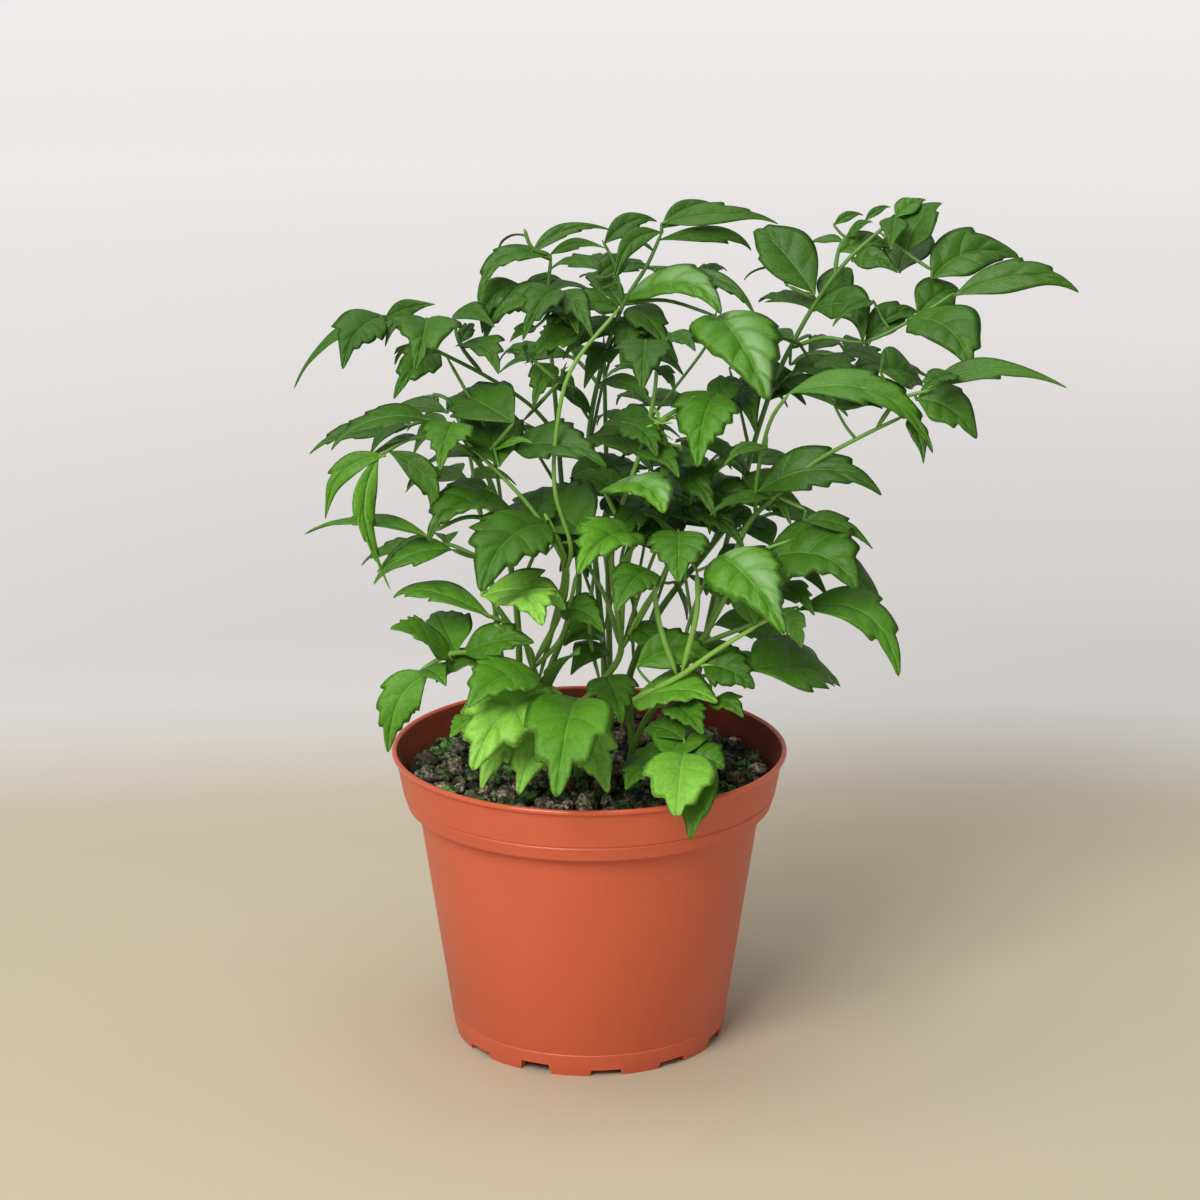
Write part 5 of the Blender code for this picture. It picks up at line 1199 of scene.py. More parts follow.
def add_leaflet(builder, blade, seed, shape, depth, tone, fewer):
    """One leaflet and the thin stalk that carries it."""
    vertices, faces, veins, sides = fine_blade(blade, seed, shape, depth, fewer)
    builder.add(vertices, faces, 0, veins, [(tone, depth, side) for side in sides])
    stalk = blade.base - blade.root
    if stalk.length > LEAST_LEAF_STALK:
        sag = Vector((0.0, 0.0, -LEAF_STALK_SAG * stalk.length))
        middle = blade.root.lerp(blade.base, 0.5) + sag
        points = [blade.root, middle, blade.base, rib_point(blade, LEAF_STALK_END)]
        line = smooth_path(points, LEAF_STALK_STEPS)
        radii = tapered(LEAF_STALK_RADIUS, LEAF_STALK_TAPER, len(line))
        add_tube(builder, line, radii, LEAF_STALK_SIDES, tone + LEAF_STALK_LIGHTER)


def seed_of(name, number):
    """A steady number for a leaflet."""
    return sum(ord(letter) * (place + 3) for place, letter in enumerate(name)) * 101 + number * 7


def stem_piece(stem, look, paths, leaves, materials):
    """The fine piece of one leafy stem."""
    builder = Builder()
    slim, stem_tone, tail, fewer = look
    for index, path in enumerate(paths):
        line = smooth_path(path.points, PATH_STEPS)
        if index == 0:
            radii, sides = tapered(stem.radius * slim, FINE_STEM_TAPER, len(line)), STEM_SIDES
        else:
            radii, sides = tapered(STALK_RADIUS * slim * path.width, STALK_TAPER, len(line)), STALK_SIDES
            for step, swell in enumerate(JOINT_SWELLS[:len(radii)]):
                radii[step] *= swell
        radii[-1] *= TUBE_END
        add_tube(builder, line, radii, sides, stem_tone)
    for number, blade in enumerate(leaves):
        seed = seed_of(stem.name, number)
        tone = blade.tone + (random.Random(seed).random() - 0.5) * TONE_SPREAD
        shape = OWN_SHAPES.get((stem.name, number), (tail,))
        depth = DEEP_VEINS if (stem.name, number) in DEEP_VEINED else random.Random(seed + 1).random()
        add_leaflet(builder, blade, seed, shape, depth, tone, fewer)
    add_piece(f"fine_{stem.name}", builder.mesh(f"fine_{stem.name}"), materials, stem.name)


def make_plant():
    """Every leafy stem as one fine piece."""
    materials = [leaf_material(), stalk_material()]
    for stem in STEMS:
        paths = stem_paths(stem)
        leaves = fitted(placed_blades(stem.leaflets, paths, stem.lean), stem.name) + growth(stem, paths)
        stem_piece(stem, stem.look, paths, leaves, materials)
    for stem in BACK_STEMS:
        paths, blades = back_paths_and_blades(stem)
        stem_piece(stem, BACK_LOOK, paths, fitted(blades, stem.name), materials)


# Leaves and stalks near the pot are painted lighter, painted light in the shade among the low stems: where
# that begins and is full, in metres, and by how much
PAINTED_LIGHT_TOP = 0.175
PAINTED_LIGHT_FOOT = 0.085
PAINTED_LIGHT_LIFT = 0.2

# Colours by tone from dark to light, where a tone is partly the plant's own green and partly painted light
# and
# shade: the leaf, its ribs and veins, its underside, and the stalks
LEAF_GREENS = (
    (0.0, (0.018, 0.064, 0.003)), (0.25, (0.037, 0.118, 0.004)), (0.5, (0.073, 0.222, 0.008)),
    (0.75, (0.122, 0.355, 0.016)), (1.0, (0.24, 0.545, 0.055)))
VEIN_GREENS = ((0.0, (0.05, 0.14, 0.02)), (0.5, (0.14, 0.32, 0.04)), (1.0, (0.38, 0.64, 0.15)))
UNDER_GREENS = ((0.0, (0.05, 0.115, 0.022)), (0.5, (0.11, 0.22, 0.04)), (1.0, (0.24, 0.42, 0.08)))
STALK_GREENS = (
    (0.0, (0.035, 0.10, 0.012)), (0.35, (0.075, 0.19, 0.02)), (0.7, (0.16, 0.35, 0.04)),
    (1.0, (0.29, 0.52, 0.09)))
LEAF_DUST = (0.30, 0.42, 0.17)
# A painted sheen: the pale gloss laid between the veins of the deep-veined leaflets
LEAF_PAINTED_SHEEN = (0.27, 0.43, 0.19)
# How strongly the midrib, the edge and the net of small veins take the veins' colour; at the edge it is a
# painted highlight along the rim
RIB_PALE = 0.75
EDGE_HIGHLIGHT = 0.6
NET_PALE = 0.16
# Colours by noise: the pot, its inner wall darkened as painted shade, the potting mix and its moss
POT_REDS = ((0.3, (0.60, 0.106, 0.044)), (0.7, (0.66, 0.122, 0.052)))
INNER_SHADE_REDS = ((0.35, (0.13, 0.021, 0.006)), (0.7, (0.21, 0.036, 0.011)))
SOIL_BROWNS = ((0.25, (0.005, 0.004, 0.003)), (0.5, (0.013, 0.009, 0.006)), (0.7, (0.035, 0.022, 0.014)))
SOIL_MOSS = ((0.3, (0.012, 0.022, 0.006)), (0.7, (0.05, 0.075, 0.022)))
# Colours of the loose grains by kind and their moss, and a painted shade that darkens their pores and
# lightens the grain between them
GRAIN_KINDS = (
    (0.0, (0.012, 0.007, 0.004)), (0.28, (0.028, 0.016, 0.009)), (0.33, (0.17, 0.045, 0.024)),
    (0.38, (0.034, 0.024, 0.016)), (0.55, (0.09, 0.072, 0.052)), (0.8, (0.30, 0.24, 0.19)),
    (0.93, (0.48, 0.38, 0.31)), (0.95, (0.08, 0.17, 0.035)), (1.0, (0.07, 0.18, 0.03)))
GRAIN_MOSS = ((0.38, (0.014, 0.036, 0.006)), (0.6, (0.12, 0.25, 0.05)))
GRAIN_PORE_SHADE = (
    (0.40, (0.05, 0.05, 0.05)), (0.49, (0.6, 0.6, 0.6)), (0.56, (1.3, 1.25, 1.2)), (0.64, (2.6, 2.5, 2.3)))


class Shading:
    """A material with one Principled shader, and short ways to add steps to it."""

    def __init__(self, name):
        self.material = bpy.data.materials.new(name)
        self.material.use_nodes = True
        self.tree = self.material.node_tree
        self.shader = self.tree.nodes["Principled BSDF"]
        self.place = self.add("ShaderNodeTexCoord").outputs["Object"]

    def put(self, socket, value):
        """Links an output to a socket, or sets the socket's value; a colour is made opaque."""
        if hasattr(value, "is_output"):
            self.tree.links.new(value, socket)
        elif isinstance(value, tuple) and socket.type == "RGBA":
            socket.default_value = (*value, 1.0)
        elif value is not None:
            socket.default_value = value

    def add(self, kind, *values, **settings):
        """One more node, with its settings and what goes in at its first sockets."""
        node = self.tree.nodes.new(kind)
        for title, value in settings.items():
            setattr(node, title, value)
        for place, value in enumerate(values):
            self.put(node.inputs[place], value)
        return node

    def finish(self, **values):
        """The material, with these values at the shader's sockets; a name has _ for each space."""
        for title, value in values.items():
            self.put(self.shader.inputs[title.replace("_", " ")], value)
        return self.material

    def step(self, operation, *values, clamp=False):
        """One step of arithmetic."""
        return self.add("ShaderNodeMath", *values, operation=operation, use_clamp=clamp).outputs[0]

    def times(self, first, *others):
        """A product."""
        for other in others:
            first = self.step("MULTIPLY", first, other)
        return first

    def scaled(self, value, by, plus=0.0, clamp=False):
        """A value times another, plus a third."""
        return self.step("MULTIPLY_ADD", value, by, plus, clamp=clamp)

    def above(self, value, least, by):
        """How far a value is above the least, times a number, held between 0 and 1."""
        return self.scaled(value, by, -least * by, clamp=True)

    def noise(self, scale, detail, roughness):
        """A noise from 0 to 1."""
        return self.add("ShaderNodeTexNoise", self.place, None, scale, detail, roughness).outputs["Fac"]

    def cells(self, scale):
        """The distance from the edges of a net of cells."""
        node = self.add("ShaderNodeTexVoronoi", self.place, None, scale, feature="DISTANCE_TO_EDGE")
        return node.outputs["Distance"]

    def parts(self, vector):
        """A vector's three parts."""
        return self.add("ShaderNodeSeparateXYZ", vector).outputs

    def facts(self, name):
        """The three parts of one of the mesh's point attributes."""
        return self.parts(self.add("ShaderNodeAttribute", attribute_name=name).outputs["Vector"])

    def grey(self, value):
        """A grey of this value."""
        return self.add("ShaderNodeCombineXYZ", value, value, value).outputs[0]

    def ramp(self, factor, stops):
        """A colour by a factor, between the stops' colours."""
        node = self.add("ShaderNodeValToRGB", factor)
        elements = node.color_ramp.elements
        elements.remove(elements[-1])
        elements[0].position, elements[0].color = stops[0][0], (*stops[0][1], 1.0)
        for place, colour in stops[1:]:
            elements.new(place).color = (*colour, 1.0)
        return node.outputs["Color"]

    def mix(self, factor, first, second, blend="MIX"):
        """Two colours mixed."""
        node = self.add("ShaderNodeMix", data_type="RGBA", blend_type=blend)
        for title, value in (("Factor", factor), ("A", first), ("B", second)):
            self.put(next(item for item in node.inputs if item.name == title and item.enabled), value)
        return next(item for item in node.outputs if item.enabled)

    def bump(self, height, strength, distance):
        """A relief."""
        node = self.add("ShaderNodeBump")
        for title, value in (("Height", height), ("Strength", strength), ("Distance", distance)):
            self.put(node.inputs[title], value)
        return node.outputs[0]


def low_painted_light(shading):
    """How much lighter leaves and stalks near the pot are painted, as light in the shade of the low stems.
    """
    height = shading.parts(shading.place)[2]
    share = shading.above(height, PAINTED_LIGHT_TOP, 1.0 / (PAINTED_LIGHT_FOOT - PAINTED_LIGHT_TOP))
    return shading.times(share, PAINTED_LIGHT_LIFT)


def leaf_material():
    """Glossy leaf: green by tone, pale midrib and side veins, paler underside, painted rim highlight and
    sheen.
    """
    leaf = Shading("leaf_green")
    phase, offset, spacing = leaf.facts("veins")
    tone, depth, side = leaf.facts("tints")
    under = leaf.scaled(side, 1.0, clamp=True)
    # The rim of the leaflet, which gets a painted highlight
    edge = leaf.above(side, -0.95, -22.0)
    broad, fine = leaf.noise(60.0, 3.0, 0.5), leaf.noise(900.0, 3.0, 0.6)
    rib = leaf.scaled(leaf.step("ABSOLUTE", offset), -2.6, 1.0, clamp=True)
    turned = leaf.step("FRACT", leaf.step("ADD", phase, 0.5))
    gap = leaf.times(leaf.step("ABSOLUTE", leaf.step("SUBTRACT", turned, 0.5)), spacing)
    side_vein = leaf.scaled(gap, -4.5, 1.0, clamp=True)
    lift = leaf.step("ADD", leaf.scaled(broad, 0.35, -0.175), tone)
    # Painted light: leaves near the pot are lightened where shade falls among the low stems
    lift = leaf.step("ADD", lift, low_painted_light(leaf))
    colour, pale, below = (leaf.ramp(lift, stops) for stops in (LEAF_GREENS, VEIN_GREENS, UNDER_GREENS))
    colour = leaf.mix(1.0, colour, leaf.grey(leaf.scaled(fine, 0.8, 0.6)), "MULTIPLY")
    dust = leaf.above(leaf.noise(2400.0, 2.0, 0.5), 0.66, 9.0)
    colour = leaf.mix(leaf.times(dust, 0.3), colour, LEAF_DUST)
    veined = leaf.scaled(depth, 0.45, 0.08)
    thread = leaf.scaled(leaf.cells(430.0), -12.0, 1.0, clamp=True)
    for share, strength in ((side_vein, veined), (rib, RIB_PALE), (edge, EDGE_HIGHLIGHT), (thread, NET_PALE)):
        colour = leaf.mix(leaf.times(share, strength), colour, pale)
    # Painted sheen: a pale gloss between the veins on one half of each deep-veined leaflet, strongest near
    # the midrib
    away = leaf.scaled(gap, 1.3, -0.35, clamp=True)
    sheen_side = leaf.scaled(offset, -1.2, -0.3, clamp=True)
    fading = leaf.scaled(offset, 0.2, 1.5, clamp=True)
    is_deep = leaf.step("GREATER_THAN", depth, (1.0 + DEEP_VEINS) / 2.0)
    colour = leaf.mix(leaf.times(away, sheen_side, fading, is_deep, broad), colour, LEAF_PAINTED_SHEEN)
    colour = leaf.mix(under, colour, below)
    rough = leaf.scaled(under, 0.2, leaf.scaled(depth, -0.12, leaf.scaled(fine, 0.2, 0.42)))
    net = leaf.scaled(leaf.cells(1500.0), 2.2, clamp=True)
    relief = leaf.times(rib, -0.8)
    for part, height in ((side_vein, -0.55), (fine, 0.35), (net, 0.45)):
        relief = leaf.scaled(part, height, relief)
    normal = leaf.bump(relief, 0.55, 0.00022)
    return leaf.finish(Base_Color=colour, Roughness=rough, Specular_IOR_Level=0.33, Normal=normal)


def stalk_material():
    """Smooth green stalks, brighter by their tone."""
    stalk = Shading("stalk_green")
    tone = stalk.facts("tints")[0]
    lift = stalk.step("ADD", stalk.scaled(stalk.noise(90.0, 3.0, 0.5), 0.4, -0.2), tone)
    # Painted light: stalks near the pot are lightened where shade falls among the low stems
    lift = stalk.step("ADD", lift, low_painted_light(stalk))
    return stalk.finish(Base_Color=stalk.ramp(lift, STALK_GREENS), Roughness=0.42)


def plastic_material():
    """Satin terracotta-coloured plastic with the faint unevenness of a thin moulding."""
    plastic = Shading("terracotta_plastic")
    colour = plastic.ramp(plastic.noise(18.0, 2.0, 0.5), POT_REDS)
    grain = plastic.noise(1400.0, 2.0, 0.6)
    lip_height = (POT_HEIGHT - 2.0 * LIP_BEAD) * MM
    on_lip = plastic.step("GREATER_THAN", plastic.parts(plastic.place)[2], lip_height)
    rough = plastic.scaled(on_lip, -0.24, plastic.scaled(grain, 0.12, 0.38))
    return plastic.finish(Base_Color=colour, Roughness=rough, Normal=plastic.bump(grain, 0.25, 0.00008))


def inside_material():
    """The pot's inner wall, darkened with painted shade."""
    inner_shade = Shading("damp_plastic")
    colour = inner_shade.ramp(inner_shade.noise(60.0, 4.0, 0.6), INNER_SHADE_REDS)
    return inner_shade.finish(Base_Color=colour, Roughness=0.72, Specular_IOR_Level=0.25)


def soil_material():
    """Dark peaty mix with patches of moss."""
    soil = Shading("potting_mix")
    clump, patch = soil.noise(260.0, 6.0, 0.7), soil.noise(70.0, 2.0, 0.5)
    green = soil.above(patch, 0.52, 6.0)
    colour = soil.mix(green, soil.ramp(clump, SOIL_BROWNS), soil.ramp(clump, SOIL_MOSS))
    return soil.finish(Base_Color=colour, Roughness=0.9, Normal=soil.bump(clump, 1.0, 0.0012))


def grain_material():
    """Loose grains: crumbs, bark, pumice and moss by a number on each, finely speckled, with painted pore
    shade.
    """
    grain = Shading("loose_grains")
    kind = grain.facts("tints")[0]
    speckle, pores = grain.noise(1500.0, 4.0, 0.75), grain.noise(620.0, 4.0, 0.75)
    green = grain.above(grain.noise(210.0, 4.0, 0.65), 0.46, 7.0)
    colour = grain.ramp(kind, GRAIN_KINDS)
    colour = grain.mix(grain.times(green, 0.75), colour, grain.ramp(speckle, GRAIN_MOSS))
    # Painted shade: darker in the pores, which the bump sinks, and lighter on the grain between them
    colour = grain.mix(1.0, colour, grain.ramp(pores, GRAIN_PORE_SHADE), "MULTIPLY")
    return grain.finish(Base_Color=colour, Roughness=0.85, Normal=grain.bump(pores, 1.0, 0.0005))


# The fine pot: its sides, its parting line, where its inner wall with painted shade begins, and from which
# angle an edge is sharp
FINE_POT_SIDES = 192
PARTING_HEIGHT = 6.4
PARTING_DEPTH = 0.12
PARTING_HALF = 0.25
PARTING_LIP = 0.02
INSIDE_BOTTOM = 5.0
SHARP_ANGLE = math.radians(32.0)
# Arcs: where they start and end, in degrees, and their steps
LIP_ARC = (165.0, -70.0, 12)
BAND_FOOT_ARC = (0.0, -90.0, 6)
# Small roundings: how far out and up each point of a corner lies from it
CREASE_INSIDE_STEPS = ((0.0, 0.0), (0.25, 0.3))
BAND_TOP_STEPS = ((0.1, 0.1), (0.0, -0.3))
CREASE_STEPS = ((0.15, 0.35), (-0.25, 0.05), (-0.22, -0.2), (-0.02, -0.45))
BODY_TOP_STEPS = ((0.5, 0.05), (0.0, -0.5))
FOOT_STEPS = ((0.1, 0.5), (-0.2, 0.0))


def arc(centre, radius, start, end, count):
    """Points of an arc in the profile plane, angles in degrees."""
    points = []
    for step in range(count + 1):
        angle = math.radians(part_way(start, end, step / count))
        points.append((centre[0] + radius * math.cos(angle), centre[1] + radius * math.sin(angle)))
    return points


def stepped(radius, height, steps):
    """Points of the profile round one of its corners."""
    return [(radius + out, height + up) for out, up in steps]


def body_radius(height):
    """Outer radius of the pot's body at a height."""
    way = (height - SHOULDER_HEIGHT) / (BODY_TOP_HEIGHT - SHOULDER_HEIGHT)
    return part_way(BODY_FOOT_RADIUS, BODY_TOP_RADIUS, way)


def fine_pot_profile():
    """The pot's section with its small roundings and its fine parting line."""
    bead_middle = (LIP_RADIUS - LIP_BEAD, POT_HEIGHT - LIP_BEAD)
    edge_middle = (BAND_FOOT_RADIUS - BAND_FOOT_EDGE, BAND_FOOT_HEIGHT + BAND_FOOT_EDGE)
    parting_top, parting_foot = PARTING_HEIGHT + PARTING_HALF, PARTING_HEIGHT - PARTING_HALF
    ring_inside = FOOT_RADIUS - FOOT_RING_WIDTH
    return [
        (0.0, FLOOR_TOP),
        (body_radius(FLOOR_TOP) - WALL - FLOOR_CORNER, FLOOR_TOP),
        (BODY_FOOT_RADIUS - WALL, SHOULDER_HEIGHT),
        (BODY_TOP_RADIUS - WALL, BODY_TOP_HEIGHT),
        (BAND_FOOT_RADIUS - WALL, BAND_INSIDE_FOOT),
        *stepped(CREASE_RADIUS - WALL, CREASE_HEIGHT, CREASE_INSIDE_STEPS),
        (BAND_TOP_RADIUS - WALL, BAND_TOP_HEIGHT),
        *arc(bead_middle, LIP_BEAD, *LIP_ARC),
        *stepped(BAND_TOP_RADIUS, BAND_TOP_HEIGHT, BAND_TOP_STEPS),
        *stepped(CREASE_RADIUS, CREASE_HEIGHT, CREASE_STEPS),
        *arc(edge_middle, BAND_FOOT_EDGE, *BAND_FOOT_ARC),
        *stepped(BODY_TOP_RADIUS, BODY_TOP_HEIGHT, BODY_TOP_STEPS),
        (body_radius(parting_top), parting_top),
        (body_radius(PARTING_HEIGHT) - PARTING_DEPTH, PARTING_HEIGHT),
        (body_radius(PARTING_HEIGHT) + PARTING_LIP, parting_foot),
        *stepped(FOOT_RADIUS, 0.0, FOOT_STEPS),
        (ring_inside, 0.0),
        (ring_inside - FOOT_RING_SLOPE, FLOOR_UNDERSIDE),
        (0.0, FLOOR_UNDERSIDE),
    ]


def level_ring(radius, height, sides):
    """A ring of points about the z axis, or one point where its radius is nothing."""
    places = circle(radius, sides) if radius else [(0.0, 0.0)]
    return [Vector((x, y, height)) for x, y in places]


def wedge(size, top_share, place, angle):
    """A block, narrower at its top, turned to point along a radius: the angle runs from the front."""
    work = bmesh.new()
    bmesh.ops.create_cube(work, size=1.0)
    for vertex in work.verts:
        if vertex.co.z > 0.0:
            vertex.co.x *= top_share
    bmesh.ops.scale(work, vec=size, verts=work.verts)
    turn = Matrix.Rotation(angle, 4, "Z")
    move = Matrix.Translation((math.sin(angle) * place[0], -math.cos(angle) * place[0], place[1]))
    bmesh.ops.transform(work, matrix=move @ turn, verts=work.verts)
    mesh = bpy.data.meshes.new("wedge")
    work.to_mesh(mesh)
    work.free()
    return mesh


def cut_with(mesh, cutters):
    """A mesh with others cut out of it."""
    whole = link_object("whole", mesh)
    group = bpy.data.collections.new("cutters")
    bpy.context.scene.collection.children.link(group)
    for cutter in cutters:
        group.objects.link(bpy.data.objects.new("cutter", cutter))
    cut = whole.modifiers.new("cut", "BOOLEAN")
    cut.operation = "DIFFERENCE"
    cut.operand_type = "COLLECTION"
    cut.collection = group
    cut.solver = "EXACT"
    bpy.context.view_layer.update()
    graph = bpy.context.evaluated_depsgraph_get()
    result = bpy.data.meshes.new_from_object(whole.evaluated_get(graph))
    for thing in list(group.objects) + [whole]:
        bpy.data.objects.remove(thing)
    bpy.data.collections.remove(group)
    return result


def make_pot(materials):
    """The thin moulded pot with its notched foot ring; its second material gives the inner wall painted
    shade.
    """
    rings = [level_ring(*point, FINE_POT_SIDES) for point in fine_pot_profile()]
    cutters = []
    ring_middle = FOOT_RADIUS - FOOT_RING_WIDTH / 2.0
    drain_middle = (DRAIN_OUTER + DRAIN_INNER) / 2.0
    for index in range(NOTCHES):
        angle = FIRST_NOTCH + index * math.tau / NOTCHES
        is_slot = index % SLOT_EVERY == SLOT_FIRST
        height = SLOT_HEIGHT if is_slot else NOTCH_HEIGHT
        size = (NOTCH_WIDTH, FOOT_RING_WIDTH + NOTCH_OVERCUT, 2.0 * height)
        cutters.append(wedge(size, NOTCH_TOP_SHARE, (ring_middle, 0.0), angle))
        if is_slot:
            size = (DRAIN_WIDTH, DRAIN_OUTER - DRAIN_INNER, DRAIN_CUT_HEIGHT)
            cutters.append(wedge(size, 1.0, (drain_middle, FLOOR_TOP), angle))
    mesh = to_world(cut_with(new_mesh("turned_pot", *loft(rings)), cutters))
    mesh.set_sharp_from_angle(angle=SHARP_ANGLE)
    # Faces of the inner wall take the second material, whose dark colour is painted shade
    for face in mesh.polygons:
        outwards = face.center - AXIS
        is_wall = INSIDE_BOTTOM < outwards.z / MM < POT_HEIGHT - LIP_BEAD
        if is_wall and face.normal.x * outwards.x + face.normal.y * outwards.y < 0.0:
            face.material_index = 1
    add_piece("fine_pot", mesh, materials, "pot")


# The fine potting mix: its rough top, which rises a little at the wall
SOIL_FINE_RINGS = 60
SOIL_FINE_SIDES = 220
SOIL_EDGE = 49.0
SOIL_WALL_RISE = 2.0
SOIL_WALL_REACH = 9.0
# Its crumbs: size and height of each noise, and the level the noises are taken at
SOIL_CRUMBS = ((3.4, 1.1), (1.3, 0.5))
SOIL_CRUMB_LEVEL = 7.0
# Its plain side, radius and height, clear of the pot's wall
SOIL_CLEAR = 1.75
SOIL_SIDE = (
    (BAND_FOOT_RADIUS - SOIL_CLEAR, 68.0), (BODY_TOP_RADIUS - SOIL_CLEAR, 66.2),
    (BODY_FOOT_RADIUS - SOIL_CLEAR, 6.6), (33.8, 4.4))
# Crumbs and lumps: how many are tried, and how many shapes they have, how fine and how rough
CRUMBS = 1500
CRUMB_SHAPES = (9, 2, 0.55)
LUMPS = 520
LUMP_SHAPES = (7, 3, 0.42)
# How a shape is made uneven: fineness and strength of each noise, and how it shifts from shape to shape
LUMP_NOISES = ((2.6, 1.0, (3.7, 0.0, 0.0)), (6.1, 0.7, (0.0, 5.1, 0.0)), (12.0, 0.5, (0.0, 0.0, 2.3)))
# The least size, how much more it may be, and a power that makes large ones rarer
CRUMB_SIZES = (0.8, 1.5, 1.5)
LUMP_SIZES = (3.0, 3.2, 1.3)
# A grain's least height beside its width, and how much of its height its middle lies above the mix
LEAST_FLAT = 0.75
LUMP_SHOWS = 0.34
# The room kept free: round a lump and at the mix's edge for each mm of a grain's size, then round a stem
# and between a grain's middle and the edge, in mm
LUMP_ROOM = 0.42
WALL_ROOM = 0.55
STEM_ROOM = 2.0
EDGE_ROOM = 0.6
# A grain's kind is a number from dark crumbs through bark to pale pumice and moss
CRUMB_KIND_MOST = 0.8
LUMP_KINDS = (0.9, 0.8, 0.86, 0.74, 0.66, 0.6, 0.5, 0.42, 0.33, 0.97, 0.99)
# Lumps that stand out: x, y, size and kind
PLACED_LUMPS = (
    (2.0, -44.5, 5.4, 1.0), (-4.5, -44.0, 5.0, 0.33), (-8.5, -41.0, 3.6, 0.33), (-30.0, -31.0, 6.0, 0.98),
    (-37.0, -20.0, 5.0, 0.95), (36.0, -18.0, 6.4, 0.96), (40.0, -8.0, 5.2, 0.6), (30.0, -29.0, 5.0, 0.5),
    (-24.0, -36.0, 4.6, 0.7), (12.0, -43.0, 4.6, 0.55), (-40.0, -6.0, 5.0, 0.55))


def soil_surface(x, y):
    """The fine surface: the mix's height with crumbs on it."""
    spot = Vector((x, y, SOIL_CRUMB_LEVEL))
    crumbs = sum(noise.noise(spot / size) * height for size, height in SOIL_CRUMBS)
    rise = SOIL_WALL_RISE * max(0.0, 1.0 - (SOIL_EDGE - math.hypot(x, y)) / SOIL_WALL_REACH)
    return soil_height(x, y) + crumbs + rise


def make_soil(material):
    """The potting mix: a rough top over a plain side."""
    rings = []
    for number in range(SOIL_FINE_RINGS + 1):
        ring = level_ring(SOIL_EDGE * number / SOIL_FINE_RINGS, 0.0, SOIL_FINE_SIDES)
        for point in ring:
            point.z = soil_surface(point.x, point.y)
        rings.append(ring)
    rings += [level_ring(*place, SOIL_FINE_SIDES) for place in SOIL_SIDE]
    mesh = to_world(new_mesh("fine_soil", *loft(rings)))
    mesh.flip_normals()
    add_piece("fine_soil", mesh, [material], "soil")


def lump_shape(seed, fineness, roughness):
    """A crumbly lump's points and faces, about one across."""
    work = bmesh.new()
    bmesh.ops.create_icosphere(work, subdivisions=fineness, radius=0.5)
    for vertex in work.verts:
        push = 0.0
        for scale, strength, shift in LUMP_NOISES:
            push += strength * noise.noise(vertex.co * scale + Vector(shift) * seed)
        vertex.co *= 1.0 + roughness * push
    points = [vertex.co.copy() for vertex in work.verts]
    faces = [tuple(vertex.index for vertex in face.verts) for face in work.faces]
    work.free()
    return points, faces


def add_lump(builder, shape, place, size, flat, rng, kind):
    """One lump, turned at random and partly sunk in the mix."""
    points, faces = shape
    turn = Quaternion((rng.random() - 0.5, rng.random() - 0.5, rng.random() - 0.5), rng.random() * math.tau)
    centre = Vector((*place, soil_surface(*place) + size * flat * LUMP_SHOWS))
    placed = []
    for point in points:
        moved = turn @ point
        moved.z *= flat
        placed.append(centre + moved * size)
    builder.add(placed, faces, 0, [(0.0, 0.0, 0.0)] * len(placed), [(kind, 0.0, 0.0)] * len(placed))


def make_grains(material):
    """Loose grains of pumice, bark and crumbs lying on the mix, with some larger mossy lumps."""
    crumbs, lumps = (
        [lump_shape(index, fineness, roughness) for index in range(count)]
        for count, fineness, roughness in (CRUMB_SHAPES, LUMP_SHAPES))
    builder = Builder()
    rng = random.Random(5)
    taken = [(*stem.root, STEM_ROOM) for stem in STEMS + BACK_STEMS]
    for x, y, size, kind in PLACED_LUMPS:
        add_lump(builder, lumps[0], (x, y), size, LEAST_FLAT, rng, kind)
        taken.append((x, y, size * LUMP_ROOM))
    for number in range(LUMPS + CRUMBS):
        is_lump = number < LUMPS
        radius = (SOIL_EDGE - EDGE_ROOM) * math.sqrt(rng.random())
        angle = rng.random() * math.tau
        x, y = math.cos(angle) * radius, math.sin(angle) * radius
        least, more, power = LUMP_SIZES if is_lump else CRUMB_SIZES
        size = least + more * rng.random() ** power
        flat = between(rng, LEAST_FLAT, 1.0)
        kind = rng.choice(LUMP_KINDS) if is_lump else rng.random() * CRUMB_KIND_MOST
        shape = rng.choice(lumps if is_lump else crumbs)
        room = size * LUMP_ROOM if is_lump else 0.0
        if any(math.hypot(x - other[0], y - other[1]) < other[2] + room for other in taken):
            continue
        if radius + size * WALL_ROOM > SOIL_EDGE:
            continue
        add_lump(builder, shape, (x, y), size, flat, rng, kind)
        if is_lump:
            taken.append((x, y, room))
    add_piece("loose_grains", builder.mesh("loose_grains"), [material], None)


# The camera: how far back and up from the pot's foot it is, in mm, its pitch, its lens and sensor, how near
# and how far it sees, in metres, and where the pot's axis is across the frame
CAMERA_BACK = 871.73
CAMERA_UP = 375.28
CAMERA_PITCH = 0.281817
CAMERA_LENS = 100.85
CAMERA_SENSOR = 36.0
CAMERA_NEAR = 0.01
CAMERA_FAR = 20.0
FRAME_PIXELS = 1200.0
AXIS_PIXEL = 589.275
